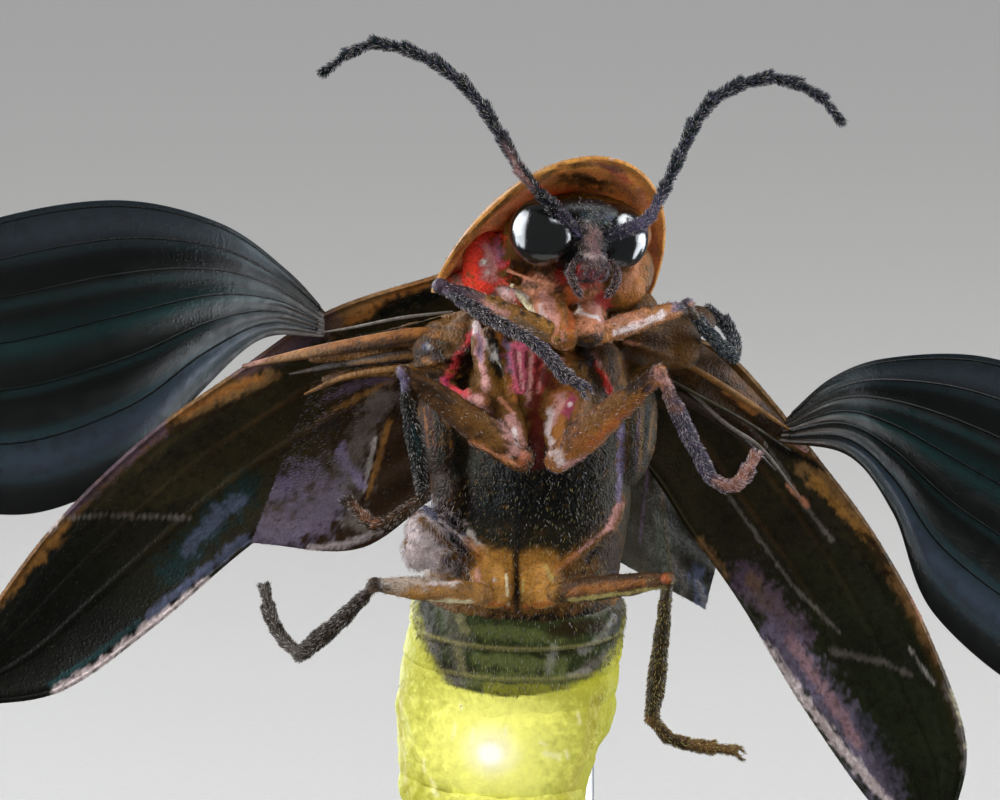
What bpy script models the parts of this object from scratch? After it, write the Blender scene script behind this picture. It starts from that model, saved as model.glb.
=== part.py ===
"""A male common eastern firefly in flight, life size, held up by a plain display stand.

Places on the insect are given in millimetres as (across, depth, up), as they are seen from the front:
across runs to the right, depth runs away from the eye and up runs up the page, all from the middle of
the view. The insect hangs head up, with its belly to the front and its wings and wing cases spread.
"""
import math

import bmesh
import bpy
from mathutils import Matrix, Vector

# Scale and the view in which the pose is described
MM = 0.001
VIEW_RANGE = 134.0
LOOK_DOWN = math.radians(5.0)
VIEW_CENTRE = Vector((-0.5, -2.5, 12.5))

# Clearance between neighbouring pieces, and the least thickness of thin parts
GAP = 0.05
THIN = 0.5
LIMB_SIDES = 8
ROUND_END = (80, 50, 25)
BODY_SIDES = 18

# Trunk: its own frame, and the size of its cross-section along it (0 lies mid thorax, + to the head)
TRUNK_CENTRE = Vector((0.62, 0.30, -1.13))
TRUNK_LEAN = math.radians(22.0)
TRUNK_ROLL = math.radians(8.0)
TRUNK_TURN = math.radians(-5.0)
TRUNK_SIZES = (
    (-8.00, 0.30, 0.25),
    (-7.50, 0.80, 0.55),
    (-6.80, 1.20, 0.80),
    (-5.80, 1.47, 0.95),
    (-4.80, 1.62, 1.05),
    (-4.10, 1.78, 1.10),
    (-2.40, 1.72, 1.10),
    (-1.60, 1.58, 1.12),
    (-0.40, 1.62, 1.18),
    (0.70, 1.48, 1.15),
    (1.60, 1.34, 1.08),
    (2.60, 1.00, 0.88),
)
TRUNK_PIECES = (
    ("mesothorax", 2.60, 0.72),
    ("metathorax", 0.67, -2.00),
    ("abdomen_ring_1", -2.05, -2.70),
    ("abdomen_ring_2", -2.75, -3.30),
    ("abdomen_ring_3", -3.35, -3.90),
    ("lantern_front", -3.95, -5.15),
    ("lantern_rear", -5.20, -6.45),
    ("abdomen_ring_7", -6.50, -7.20),
    ("abdomen_tip", -7.25, -8.00),
)
RING_FLARE = 0.05
RING_EDGE = 0.94
RING_ROWS = 5
SHIELD_ALONG = 1.15
SHIELD_BACK = 1.02
SHIELD_SIZE = Vector((0.50, 0.26, 0.55))

# Front of the body: a hood over the head, with the chest's first ring below it
HOOD_HIND = Vector((0.66, -0.60, 1.68))
HOOD_APEX = Vector((1.56, -2.44, 3.62))
HOOD_SIDE = Vector((1.42, 0.63, -0.14))
HOOD_CROWN = 0.55
HOOD_SKIRT = -0.12
HOOD_TOP = 84
HOOD_ROWS = 9
HOOD_COLUMNS = 13
HOOD_THICK = 0.30
CHEST_LENGTH = 1.15
CHEST_HALF_WIDTH = 1.15
CHEST_HALF_DEPTH = 0.60
CHEST_DROP = 0.40
CHEST_TAPER = 0.35
CHEST_ROWS = 6

# Head: its centre, how far it is turned and tipped, and its sizes
HEAD_CENTRE = Vector((1.235, -2.10, 2.62))
HEAD_TURN = math.radians(28.0)
HEAD_TIP = math.radians(-6.0)
HEAD_ROLL = math.radians(4.0)
HEAD_SIZE = Vector((0.88, 0.60, 0.60))
EYE_RADIUS = 0.55
EYE_SPREAD = 0.625
EYE_FORWARD = 0.04
EYE_RAISE = 0.05
MUZZLE_AT = Vector((0.0, -0.44, -0.56))
MUZZLE_SIZE = Vector((0.30, 0.24, 0.26))
PALP_RADIUS = 0.19
PALP_ROOT = Vector((0.36, -0.52, -0.60))
PALP_TIP = Vector((0.34, -0.62, -0.98))

# Feelers: routes from the face to the tips
FEELER_RADII = (0.25, 0.25, 0.25)
FEELER_LEFT = (
    (1.315, -2.78, 2.62), (0.60, -3.02, 3.37), (0.19, -2.95, 3.90), (-0.18, -2.85, 4.60),
    (-0.95, -2.70, 5.39), (-2.08, -2.40, 5.76), (-2.85, -2.15, 5.27),
)
FEELER_RIGHT = (
    (1.755, -2.58, 2.56), (2.28, -2.70, 2.80), (2.62, -2.56, 3.32), (3.02, -2.47, 4.20),
    (3.40, -2.40, 4.83), (4.30, -2.15, 5.20), (5.10, -1.95, 4.95), (5.50, -1.85, 4.48),
)
FEELER_LENGTHS = 3
FEELER_ROWS = 7

# Legs: hip, first joint, knee, ankle and then the foot's points down to the claws
COXA_RADIUS = 0.30
FEMUR_RADIUS = 0.28
SHIN_RADIUS = 0.25
FOOT_RADIUS = 0.25
FOOT_ROWS = 8
LEGS = {
    "fore_left": ((0.68, -1.35, 1.58), (1.06, -2.22, 0.98), (-0.97, -2.20, 1.84), (0.42, -3.25, 1.02),
                  (0.76, -3.25, 0.74), (1.02, -3.15, 0.42), (1.30, -3.05, 0.24)),
    "fore_right": ((1.46, -1.15, 1.55), (1.46, -2.00, 1.02), (3.02, -0.95, 1.52), (3.78, 0.05, 0.68),
                   (3.78, 0.45, 0.95), (3.62, 0.62, 1.25), (3.40, 0.62, 1.42)),
    "mid_left": ((0.02, -1.00, 0.02), (0.36, -1.38, -0.92), (-1.56, -1.75, 0.45), (-1.22, -1.55, -1.56),
                 (-1.63, -1.40, -1.86), (-2.02, -1.30, -2.03), (-2.42, -1.20, -1.65)),
    "mid_right": ((1.24, -1.05, 0.02), (0.92, -1.42, -0.92), (2.58, -1.75, 0.45), (3.40, -1.55, -1.26),
                  (3.64, -1.45, -1.40), (3.90, -1.35, -1.30), (4.10, -1.25, -0.92)),
    "hind_left": ((0.16, -0.10, -2.72), (-0.26, -0.42, -3.12), (-2.02, -1.55, -2.98), (-3.23, -0.60, -4.11),
                  (-3.50, -0.40, -3.86), (-3.70, -0.20, -3.50), (-3.79, -0.05, -3.06)),
    "hind_right": ((0.56, -0.12, -2.72), (0.92, -0.45, -3.11), (2.71, -1.20, -2.90), (2.45, -0.60, -5.13),
                   (2.62, -0.50, -5.40), (3.06, -0.40, -5.56), (3.76, -0.35, -5.65)),
}

# Wing cases: the front edge and the inner edge, each from the shoulder to the tip
CASE_CAMBER = 0.30
CASE_ROWS = 16
CASE_COLUMNS = 7
CASE_LEFT_FRONT = (
    (-0.97, 0.60, 2.02), (-2.90, 1.05, 1.21), (-4.19, 1.45, 0.48), (-5.65, 2.00, -0.56),
    (-7.10, 2.60, -1.94), (-8.06, 3.05, -3.19), (-8.72, 3.40, -4.30),
)
CASE_LEFT_INNER = (
    (0.42, 1.45, -0.16), (-1.13, 1.80, -0.73), (-2.74, 2.10, -1.45), (-4.06, 2.40, -2.34),
    (-5.65, 2.80, -3.68), (-7.10, 3.20, -4.68), (-8.52, 3.60, -4.92),
)
CASE_RIGHT_FRONT = (
    (3.06, 0.95, 1.05), (3.87, 1.30, 0.56), (5.26, 2.00, -1.13), (6.13, 2.60, -2.34),
    (6.94, 3.35, -3.87), (7.50, 4.10, -5.60), (7.20, 4.60, -7.00),
)
CASE_RIGHT_INNER = (
    (0.95, 1.45, -0.16), (2.26, 1.80, -0.97), (3.06, 2.20, -2.10), (3.87, 2.75, -3.23),
    (4.84, 3.50, -4.84), (5.97, 4.30, -6.45), (6.80, 4.75, -7.18),
)

# Hind wings: a lobe by the body in front of the wing case, then the blade that spreads past its front edge
WING_CAMBER = 0.12
WING_COLUMNS = 6
LOBE_ROWS = 8
BLADE_ROWS = 14
LOBE_LEFT_FRONT = ((-0.95, -0.30, 1.35), (-1.85, -0.05, 1.12), (-2.75, 0.22, 0.98))
LOBE_LEFT_HIND = ((-1.10, 0.75, -1.60), (-2.30, 1.10, -2.40), (-4.00, 1.45, -2.30))
LOBE_RIGHT_FRONT = ((2.35, 0.05, 0.85), (3.40, 0.35, 0.20), (4.45, 0.70, -0.62))
LOBE_RIGHT_HIND = ((2.22, 0.95, -1.90), (2.90, 1.40, -3.10), (4.20, 2.10, -3.60))
BLADE_LEFT_FRONT = (
    (-2.83, 0.25, 1.42), (-3.45, 0.80, 2.10), (-4.52, 1.50, 2.85), (-6.13, 2.10, 3.22),
    (-8.06, 2.60, 2.95), (-9.90, 2.90, 2.25), (-11.50, 3.05, 1.15),
)
BLADE_LEFT_HIND = (
    (-2.83, 0.22, 1.02), (-3.85, 1.05, 0.98), (-4.85, 2.10, 0.10), (-5.95, 2.95, -1.15),
    (-7.75, 3.40, -1.85), (-9.70, 3.30, -1.30), (-11.55, 3.10, 0.60),
)
BLADE_RIGHT_FRONT = (
    (4.62, 0.72, -0.30), (5.35, 1.00, 0.35), (6.30, 1.55, 0.68), (7.90, 2.10, 0.68),
    (9.70, 2.55, 0.00), (11.30, 2.85, -1.20), (12.60, 3.00, -3.10),
)
BLADE_RIGHT_HIND = (
    (4.50, 0.72, -0.68), (5.62, 1.30, -0.90), (6.35, 2.00, -1.85), (7.00, 2.60, -3.45),
    (8.75, 2.95, -4.85), (10.60, 3.05, -5.10), (12.45, 3.05, -3.65),
)

SHEETS = {
    "elytron_left": (CASE_LEFT_FRONT, CASE_LEFT_INNER, CASE_ROWS),
    "elytron_right": (CASE_RIGHT_FRONT, CASE_RIGHT_INNER, CASE_ROWS),
    "hind_wing_left_lobe": (LOBE_LEFT_FRONT, LOBE_LEFT_HIND, LOBE_ROWS),
    "hind_wing_right_lobe": (LOBE_RIGHT_FRONT, LOBE_RIGHT_HIND, LOBE_ROWS),
    "hind_wing_left_blade": (BLADE_LEFT_FRONT, BLADE_LEFT_HIND, BLADE_ROWS),
    "hind_wing_right_blade": (BLADE_RIGHT_FRONT, BLADE_RIGHT_HIND, BLADE_ROWS),
}

# Display stand: a round base and one bent rod that meets the back
BASE_RADIUS = 8.0
BASE_HEIGHT = 2.0
BASE_EDGE = 0.35
BASE_SIDES = 36
ROD_RADIUS = 0.45
ROD_SIDES = 12
ROD_DEPTH = 3.1
ROD_BACK_ALONG = -1.35
ROD_BEND = 1.8

COLOURS = {
    "horn": ((0.20, 0.075, 0.020, 1.0), 0.42, 0.0),
    "hood": ((0.55, 0.22, 0.06, 1.0), 0.40, 0.0),
    "dark": ((0.028, 0.026, 0.015, 1.0), 0.45, 0.0),
    "eye": ((0.004, 0.004, 0.005, 1.0), 0.08, 0.0),
    "case": ((0.035, 0.028, 0.015, 1.0), 0.38, 0.0),
    "wing": ((0.030, 0.034, 0.036, 1.0), 0.30, 0.0),
    "lantern": ((0.78, 0.85, 0.06, 1.0), 0.40, 0.0),
    "stand": ((0.60, 0.60, 0.60, 1.0), 0.35, 0.9),
}


def clear_scene():
    for thing in list(bpy.data.objects):
        bpy.data.objects.remove(thing, do_unlink=True)


def material(name):
    found = bpy.data.materials.get(name)
    if found:
        return found
    colour, roughness, metallic = COLOURS[name]
    made = bpy.data.materials.new(name)
    made.use_nodes = True
    shader = made.node_tree.nodes["Principled BSDF"]
    shader.inputs["Base Color"].default_value = colour
    shader.inputs["Roughness"].default_value = roughness
    shader.inputs["Metallic"].default_value = metallic
    return made


def seen(place):
    """The true place of something that is seen at (across, depth, up) from the viewing distance."""
    across, depth, up = place
    spread = 1.0 + depth / VIEW_RANGE
    return Vector((across * spread, depth, up * spread))


def frame(right, back, up):
    """A turn whose columns are the three directions."""
    return Matrix((right, back, up)).transposed()


def trunk_frame():
    """Right, back and head directions of the trunk."""
    head = Vector((math.sin(TRUNK_ROLL) * math.cos(TRUNK_LEAN), -math.sin(TRUNK_LEAN),
                   math.cos(TRUNK_ROLL) * math.cos(TRUNK_LEAN)))
    right = Vector((math.cos(TRUNK_TURN), math.sin(TRUNK_TURN), -math.sin(TRUNK_ROLL)))
    right = (right - head * right.dot(head)).normalized()
    return frame(right, head.cross(right), head)


def hood_frame():
    """Right, back and forward directions of the hood."""
    forward = (HOOD_APEX - HOOD_HIND).normalized()
    right = (HOOD_SIDE - forward * HOOD_SIDE.dot(forward)).normalized()
    return frame(right, forward.cross(right), forward)


def head_frame():
    """Right, back and crown directions of the head."""
    turn = Matrix.Rotation(HEAD_TURN, 3, "Z") @ Matrix.Rotation(HEAD_TIP, 3, "X")
    return turn @ Matrix.Rotation(HEAD_ROLL, 3, "Y")


def steps(start, end, count):
    """Evenly spaced values from start to end."""
    return [start + (end - start) * i / (count - 1) for i in range(count)]


def smooth_curve(points, count):
    """Evenly numbered places on one smooth curve through the points."""
    knots = [Vector(p) for p in points]
    first = knots[0] * 2 - knots[1]
    last = knots[-1] * 2 - knots[-2]
    line = [first] + knots + [last]
    spans = len(knots) - 1
    curve = []
    for t in steps(0.0, spans, count):
        i = min(int(t), spans - 1)
        f = t - i
        a, b, c, d = line[i:i + 4]
        place = b * 2 + (c - a) * f + (a * 2 - b * 5 + c * 4 - d) * f ** 2 + (b * 3 - a - c * 3 + d) * f ** 3
        curve.append(place * 0.5)
    return curve


def blend_sizes(table, along):
    """Half width and half depth at one place along the trunk."""
    for (a, wide_a, deep_a), (b, wide_b, deep_b) in zip(table, table[1:]):
        if along <= b:
            f = (along - a) / (b - a)
            f = f * f * (3 - 2 * f) * 0.5 + f * 0.5
            return wide_a + (wide_b - wide_a) * f, deep_a + (deep_b - deep_a) * f
    return table[-1][1:]


def node(name, mesh_maker, finish, parent):
    """One named object of the model, with its mesh and material."""
    mesh = bpy.data.meshes.new(name)
    shape = bmesh.new()
    mesh_maker(shape)
    bmesh.ops.recalc_face_normals(shape, faces=shape.faces)
    for vert in shape.verts:
        vert.co *= MM
    shape.to_mesh(mesh)
    shape.free()
    mesh.shade_smooth()
    mesh.set_sharp_from_angle(angle=math.radians(35))
    mesh.materials.append(material(finish))
    thing = bpy.data.objects.new(name, mesh)
    bpy.context.scene.collection.objects.link(thing)
    thing.parent = parent
    return thing


def loft(shape, rings):
    """Closes a row of rings, each with the same number of points, into one body."""
    rows = [[shape.verts.new(p) for p in ring] for ring in rings]
    sides = len(rows[0])
    for lower, upper in zip(rows, rows[1:]):
        for i in range(sides):
            j = (i + 1) % sides
            shape.faces.new((lower[i], lower[j], upper[j], upper[i]))
    for row in (rows[0], rows[-1]):
        hub = shape.verts.new(sum((v.co for v in row), Vector()) / sides)
        for i in range(sides):
            shape.faces.new((row[i], row[(i + 1) % sides], hub))


def cut_flat(shape, point, normal):
    """Takes away what lies beyond a plane and closes the cut."""
    everything = shape.verts[:] + shape.edges[:] + shape.faces[:]
    bmesh.ops.bisect_plane(shape, geom=everything, plane_co=point, plane_no=normal, clear_outer=True)
    rim = [edge for edge in shape.edges if edge.is_boundary]
    if rim:
        bmesh.ops.holes_fill(shape, edges=rim, sides=0)


def ring_around(centre, right, back, wide, deep, sides):
    turns = [2 * math.pi * i / sides for i in range(sides)]
    return [centre + right * (wide * math.cos(t)) + back * (deep * math.sin(t)) for t in turns]


def tube_rings(path, radii, sides):
    """Rings along a path, with a rounded end at each end."""
    ahead = (path[1] - path[0]).normalized()
    right = ahead.orthogonal().normalized()
    rings = []
    for tilt in ROUND_END:
        rings.append((path[0] - ahead * radii[0] * math.sin(math.radians(tilt)), ahead,
                      radii[0] * math.cos(math.radians(tilt))))
    for i, place in enumerate(path):
        before = path[max(i - 1, 0)]
        after = path[min(i + 1, len(path) - 1)]
        rings.append((place, (after - before).normalized(), radii[i]))
    ahead = (path[-1] - path[-2]).normalized()
    for tilt in reversed(ROUND_END):
        rings.append((path[-1] + ahead * radii[-1] * math.sin(math.radians(tilt)), ahead,
                      radii[-1] * math.cos(math.radians(tilt))))
    made = []
    for centre, direction, radius in rings:
        right = (right - direction * right.dot(direction)).normalized()
        made.append(ring_around(centre, right, direction.cross(right), radius, radius, sides))
    return made


def mitre(joint, one_way, other_way):
    """The plane on which two lengths meet, as seen from the first of them."""
    return joint, (other_way - one_way).normalized()


def tube(name, path, radii, finish, parent, cuts=()):
    """A tapered round length, cut flat where it meets its neighbours."""
    def make(shape):
        loft(shape, tube_rings(path, radii, LIMB_SIDES))
        for point, normal in cuts:
            cut_flat(shape, point - normal * (GAP / 2), normal)
    return node(name, make, finish, parent)


def grown(thing, gap, name):
    """A slightly larger copy of a piece, used only to cut its neighbour clear of it."""
    mesh = thing.data.copy()
    shape = bmesh.new()
    shape.from_mesh(mesh)
    shape.normal_update()
    moves = [(vert, vert.normal.copy()) for vert in shape.verts]
    for vert, normal in moves:
        vert.co += normal * (gap * MM)
    shape.to_mesh(mesh)
    shape.free()
    cutter = bpy.data.objects.new(name, mesh)
    bpy.context.scene.collection.objects.link(cutter)
    cutter.parent = thing.parent
    cutter.hide_render = True
    cutter.display_type = "WIRE"
    return cutter


def cut_clear(thing, neighbours):
    """Cuts a piece back from the neighbours that it sits in or on."""
    for neighbour in neighbours:
        cutter = grown(neighbour, GAP, "cut_" + thing.name + "_" + neighbour.name)
        cut = thing.modifiers.new("clear_of_" + neighbour.name, "BOOLEAN")
        cut.operation = "DIFFERENCE"
        cut.solver = "EXACT"
        cut.object = cutter


def trunk_place(along, right=0.0, back=0.0):
    turn = trunk_frame()
    return TRUNK_CENTRE + turn @ Vector((right, back, along))


def trunk_piece(name, top, bottom, finish, parent):
    """One ring of the trunk, a little fuller at its hind edge than at its front one."""
    turn = trunk_frame()

    def make(shape):
        rings = []
        for i, along in enumerate(steps(top, bottom, RING_ROWS)):
            wide, deep = blend_sizes(TRUNK_SIZES, along)
            flare = RING_FLARE * (i / (RING_ROWS - 1) - 0.5)
            edge = RING_EDGE if i in (0, RING_ROWS - 1) else 1.0
            rings.append(ring_around(trunk_place(along), turn.col[0], turn.col[1], (wide + flare) * edge,
                                     (deep + flare) * edge, BODY_SIDES))
        loft(shape, rings)
    return node(name, make, finish, parent)


def rounded_body(name, centre, turn, size, finish, parent, sides=16, rows=10):
    """An egg-shaped body with its three half sizes along the columns of a turn."""
    def make(shape):
        bmesh.ops.create_uvsphere(shape, u_segments=sides, v_segments=rows, radius=1.0)
        for vert in shape.verts:
            vert.co = centre + turn @ Vector([vert.co[i] * size[i] for i in range(3)])
    return node(name, make, finish, parent)


def hood_sheet(shape):
    """The hood's inner face: half an oval, arched from side to side and towards the back."""
    turn = hood_frame()
    length = (HOOD_APEX - HOOD_HIND).length
    half_width = HOOD_SIDE.length
    rows = []
    for forward in [HOOD_SKIRT] + [math.sin(math.radians(a)) for a in steps(0, HOOD_TOP, HOOD_ROWS)]:
        reach = math.sqrt(1 - forward ** 2)
        row = []
        for side in steps(-1.0, 1.0, HOOD_COLUMNS):
            spread = math.sin(side * math.pi / 2) * reach
            arch = HOOD_CROWN * max(0.0, 1 - spread ** 2 - forward ** 2) ** 0.75
            place = HOOD_HIND + turn @ Vector((spread * half_width, arch, forward * length))
            row.append(shape.verts.new(place))
        rows.append(row)
    for low, high in zip(rows, rows[1:]):
        for i in range(len(low) - 1):
            shape.faces.new((low[i], low[i + 1], high[i + 1], high[i]))


def make_hood(parent):
    hood = node("pronotum", hood_sheet, "hood", parent)
    wall = hood.modifiers.new("wall", "SOLIDIFY")
    wall.thickness = HOOD_THICK * MM
    wall.offset = 1.0
    wall.use_even_offset = True
    return hood


def make_chest(parent):
    """The first ring of the chest, under the hood and behind the head."""
    turn = hood_frame()

    def make(shape):
        rings = []
        for i, along in enumerate(steps(GAP, CHEST_LENGTH, CHEST_ROWS)):
            shrink = 1.0 - CHEST_TAPER * (i / (CHEST_ROWS - 1)) ** 2
            centre = HOOD_HIND + turn @ Vector((0.0, -CHEST_DROP, along))
            rings.append(ring_around(centre, turn.col[0], turn.col[1], CHEST_HALF_WIDTH * shrink,
                                     CHEST_HALF_DEPTH * shrink, BODY_SIDES))
        loft(shape, rings)
    return node("prothorax", make, "horn", parent)


def make_head(parent):
    """Head, eyes, muzzle and palps; the eyes sit in sockets that leave them clear."""
    turn = head_frame()
    head = rounded_body("head", HEAD_CENTRE, turn, HEAD_SIZE, "dark", parent)
    eye_size = Vector((EYE_RADIUS, EYE_RADIUS, EYE_RADIUS))
    pieces = {"head": head}
    for side, name in ((-1, "left"), (1, "right")):
        centre = HEAD_CENTRE + turn @ Vector((side * EYE_SPREAD, -EYE_FORWARD, EYE_RAISE))
        pieces["eye_" + name] = rounded_body("eye_" + name, centre, turn, eye_size, "eye", parent)
    muzzle_centre = HEAD_CENTRE + turn @ MUZZLE_AT
    muzzle = rounded_body("mouthparts", muzzle_centre, turn, MUZZLE_SIZE, "horn", parent, 12, 8)
    for side, name in ((-1, "left"), (1, "right")):
        root = HEAD_CENTRE + turn @ Vector((side * PALP_ROOT.x, PALP_ROOT.y, PALP_ROOT.z))
        tip = HEAD_CENTRE + turn @ Vector((side * PALP_TIP.x, PALP_TIP.y, PALP_TIP.z))
        palp = tube("palp_" + name, [root, root.lerp(tip, 0.5), tip], [PALP_RADIUS] * 3, "dark", parent)
        cut_clear(palp, [muzzle, head])
    cut_clear(head, [pieces["eye_left"], pieces["eye_right"]])
    cut_clear(muzzle, [head, pieces["eye_left"], pieces["eye_right"]])
    return pieces


def make_feeler(side, route, parent, head_pieces):
    """One feeler in a few lengths that meet on flat cuts."""
    path = [seen(p) for p in smooth_curve(route, (FEELER_ROWS - 1) * FEELER_LENGTHS + 1)]
    for k in range(FEELER_LENGTHS):
        first = k * (FEELER_ROWS - 1)
        stretch = path[first:first + FEELER_ROWS]
        cuts = []
        if k > 0:
            back = (path[first - 1] - path[first + 1]).normalized()
            cuts.append((stretch[0], back))
        if k < FEELER_LENGTHS - 1:
            end = first + FEELER_ROWS - 1
            ahead = (path[end + 1] - path[end - 1]).normalized()
            cuts.append((stretch[-1], ahead))
        radius = FEELER_RADII[k]
        length = tube(f"antenna_{side}_{k + 1}", stretch, [radius] * FEELER_ROWS, "dark", parent, cuts)
        if k == 0:
            cut_clear(length, [head_pieces["head"], head_pieces["eye_" + side]])


def make_leg(name, joints, parent, carrier):
    """Hip, thigh, shin and foot of one leg; neighbours meet on the plane that halves their angle."""
    place = [seen(p) for p in joints]
    hip, first, knee, ankle = place[:4]
    foot = smooth_curve(place[3:], FOOT_ROWS)

    def meet(joint, here, there):
        return mitre(joint, (here - joint).normalized(), (there - joint).normalized())

    coxa = tube(name + "_coxa", [hip, hip.lerp(first, 0.5), first], [COXA_RADIUS] * 3, "horn", parent,
                [meet(first, hip, knee)])
    tube(name + "_femur", [first, first.lerp(knee, 0.5), knee], [FEMUR_RADIUS, FEMUR_RADIUS, SHIN_RADIUS],
         "horn", parent, [meet(first, knee, hip), meet(knee, first, ankle)])
    tube(name + "_tibia", [knee, knee.lerp(ankle, 0.5), ankle], [SHIN_RADIUS] * 3, "dark", parent,
         [meet(knee, ankle, first), meet(ankle, knee, foot[1])])
    tube(name + "_tarsus", foot, [FOOT_RADIUS] * len(foot), "dark", parent, [meet(ankle, foot[1], knee)])
    cut_clear(coxa, carrier)


def spread_sheet(front, hind, row_count, columns, camber):
    """A sheet between a front edge and a hind edge, bowed away from the eye between them."""
    def make(shape):
        front_curve = smooth_curve(front, row_count)
        hind_curve = smooth_curve(hind, row_count)
        rows = []
        for lead, trail in zip(front_curve, hind_curve):
            chord = (trail - lead).length
            row = []
            for f in steps(0.0, 1.0, columns):
                bow = camber * 4 * f * (1 - f) * min(1.0, chord / 2)
                row.append(shape.verts.new(seen(lead.lerp(trail, f) + Vector((0, bow, 0)))))
            rows.append(row)
        for low, high in zip(rows, rows[1:]):
            for i in range(columns - 1):
                shape.faces.new((low[i], low[i + 1], high[i + 1], high[i]))
    return make


def make_sheet(name, front, hind, row_count, columns, camber, finish, parent):
    """A wing or wing case: a bowed sheet with an even wall."""
    sheet = node(name, spread_sheet(front, hind, row_count, columns, camber), finish, parent)
    wall = sheet.modifiers.new("wall", "SOLIDIFY")
    wall.thickness = THIN * MM
    wall.offset = 0.0
    wall.use_even_offset = False
    return sheet


def make_scutellum(parent, carrier):
    """The small shield between the roots of the wing cases."""
    turn = trunk_frame()
    centre = trunk_place(SHIELD_ALONG, 0.0, SHIELD_BACK)
    shield = rounded_body("scutellum", centre, turn, SHIELD_SIZE, "horn", parent, 12, 8)
    cut_clear(shield, [carrier])


def make_stand():
    """A round base on the floor and a rod that rises behind the insect and bends in to its back."""
    def base(shape):
        profile = [(BASE_RADIUS, 0.0), (BASE_RADIUS, BASE_HEIGHT - BASE_EDGE)]
        for angle in (30, 60, 90):
            turn = math.radians(angle)
            profile.append((BASE_RADIUS - BASE_EDGE * (1 - math.cos(turn)),
                            BASE_HEIGHT - BASE_EDGE + BASE_EDGE * math.sin(turn)))
        profile.append((BASE_RADIUS / 2, BASE_HEIGHT))
        right = Vector((1, 0, 0))
        back = Vector((0, 1, 0))
        loft(shape, [ring_around(Vector((0, 0, z)), right, back, r, r, BASE_SIDES) for r, z in profile])
    node("stand_base", base, "stand", None)

    tip_down = Matrix.Rotation(-LOOK_DOWN, 3, "X")
    back = tip_down @ trunk_frame().col[1]
    deep = blend_sizes(TRUNK_SIZES, ROD_BACK_ALONG)[1]
    touch = VIEW_CENTRE + tip_down @ trunk_place(ROD_BACK_ALONG, 0.0, deep + 2 * GAP)
    corner = touch + back * ((ROD_DEPTH - touch.y) / back.y)
    bottom = Vector((corner.x, corner.y, BASE_HEIGHT + GAP))
    upright = corner - Vector((0, 0, ROD_BEND))
    inward = corner - back * ROD_BEND
    route = [bottom.lerp(upright, f) for f in steps(0.0, 0.8, 4)]
    route += [upright.lerp(corner, f).lerp(corner.lerp(inward, f), f) for f in steps(0.0, 1.0, 9)]
    route += [inward.lerp(touch, f) for f in (0.5, 1.0)]

    def rod(shape):
        loft(shape, tube_rings(route, [ROD_RADIUS] * len(route), ROD_SIDES))
        cut_flat(shape, bottom, Vector((0, 0, -1)))
        cut_flat(shape, touch, -back)
    node("stand_rod", rod, "stand", None)


def make_firefly():
    pose = bpy.data.objects.new("flight_pose", None)
    bpy.context.scene.collection.objects.link(pose)
    pose.location = VIEW_CENTRE * MM
    pose.rotation_euler = (-LOOK_DOWN, 0.0, 0.0)

    trunk = {}
    for name, top, bottom in TRUNK_PIECES:
        finish = "lantern" if name.startswith("lantern") else "dark"
        trunk[name] = trunk_piece(name, top, bottom, finish, pose)
    make_hood(pose)
    chest = make_chest(pose)
    head_pieces = make_head(pose)
    cut_clear(chest, [trunk["mesothorax"], head_pieces["head"], head_pieces["eye_left"],
                      head_pieces["eye_right"]])
    make_feeler("left", FEELER_LEFT, pose, head_pieces)
    make_feeler("right", FEELER_RIGHT, pose, head_pieces)
    carriers = {"fore": [chest, trunk["mesothorax"]], "mid": [trunk["metathorax"], trunk["mesothorax"]],
                "hind": [trunk["metathorax"], trunk["abdomen_ring_1"], trunk["abdomen_ring_2"]]}
    for name, joints in LEGS.items():
        make_leg(name, joints, pose, carriers[name.split("_")[0]])
    make_scutellum(pose, trunk["mesothorax"])
    for name, (front, hind, row_count) in SHEETS.items():
        if name.startswith("elytron"):
            make_sheet(name, front, hind, row_count, CASE_COLUMNS, CASE_CAMBER, "case", pose)
        else:
            make_sheet(name, front, hind, row_count, WING_COLUMNS, WING_CAMBER, "wing", pose)
    make_stand()


clear_scene()
make_firefly()
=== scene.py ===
# %% [markdown]
# # A firefly in flight, life size, on a display stand
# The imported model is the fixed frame: it says where every part of the insect is and how large.
# This script gives the frame its looks. The hard and soft parts of the body are modelled again at
# their real fineness, in millimetres, round the same places, and each new piece stands for the
# plain solids it replaces.

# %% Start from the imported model
import math

import bpy
import numpy as np
from mathutils import Matrix, Vector, noise
from mathutils.bvhtree import BVHTree


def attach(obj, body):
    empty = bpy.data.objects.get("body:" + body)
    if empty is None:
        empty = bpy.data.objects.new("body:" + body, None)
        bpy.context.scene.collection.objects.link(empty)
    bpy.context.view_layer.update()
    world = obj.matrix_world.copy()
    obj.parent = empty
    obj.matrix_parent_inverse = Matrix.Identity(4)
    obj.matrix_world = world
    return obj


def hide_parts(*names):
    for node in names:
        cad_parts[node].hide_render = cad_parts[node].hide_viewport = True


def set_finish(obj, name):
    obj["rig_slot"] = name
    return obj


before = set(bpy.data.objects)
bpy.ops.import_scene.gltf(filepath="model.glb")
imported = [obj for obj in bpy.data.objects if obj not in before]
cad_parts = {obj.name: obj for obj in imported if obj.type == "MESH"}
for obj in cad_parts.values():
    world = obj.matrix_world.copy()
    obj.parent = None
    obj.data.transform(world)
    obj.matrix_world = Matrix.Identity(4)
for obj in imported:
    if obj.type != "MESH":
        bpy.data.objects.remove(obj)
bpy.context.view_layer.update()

MM = 0.001
print("frame:", len(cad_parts), "nodes")

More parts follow.
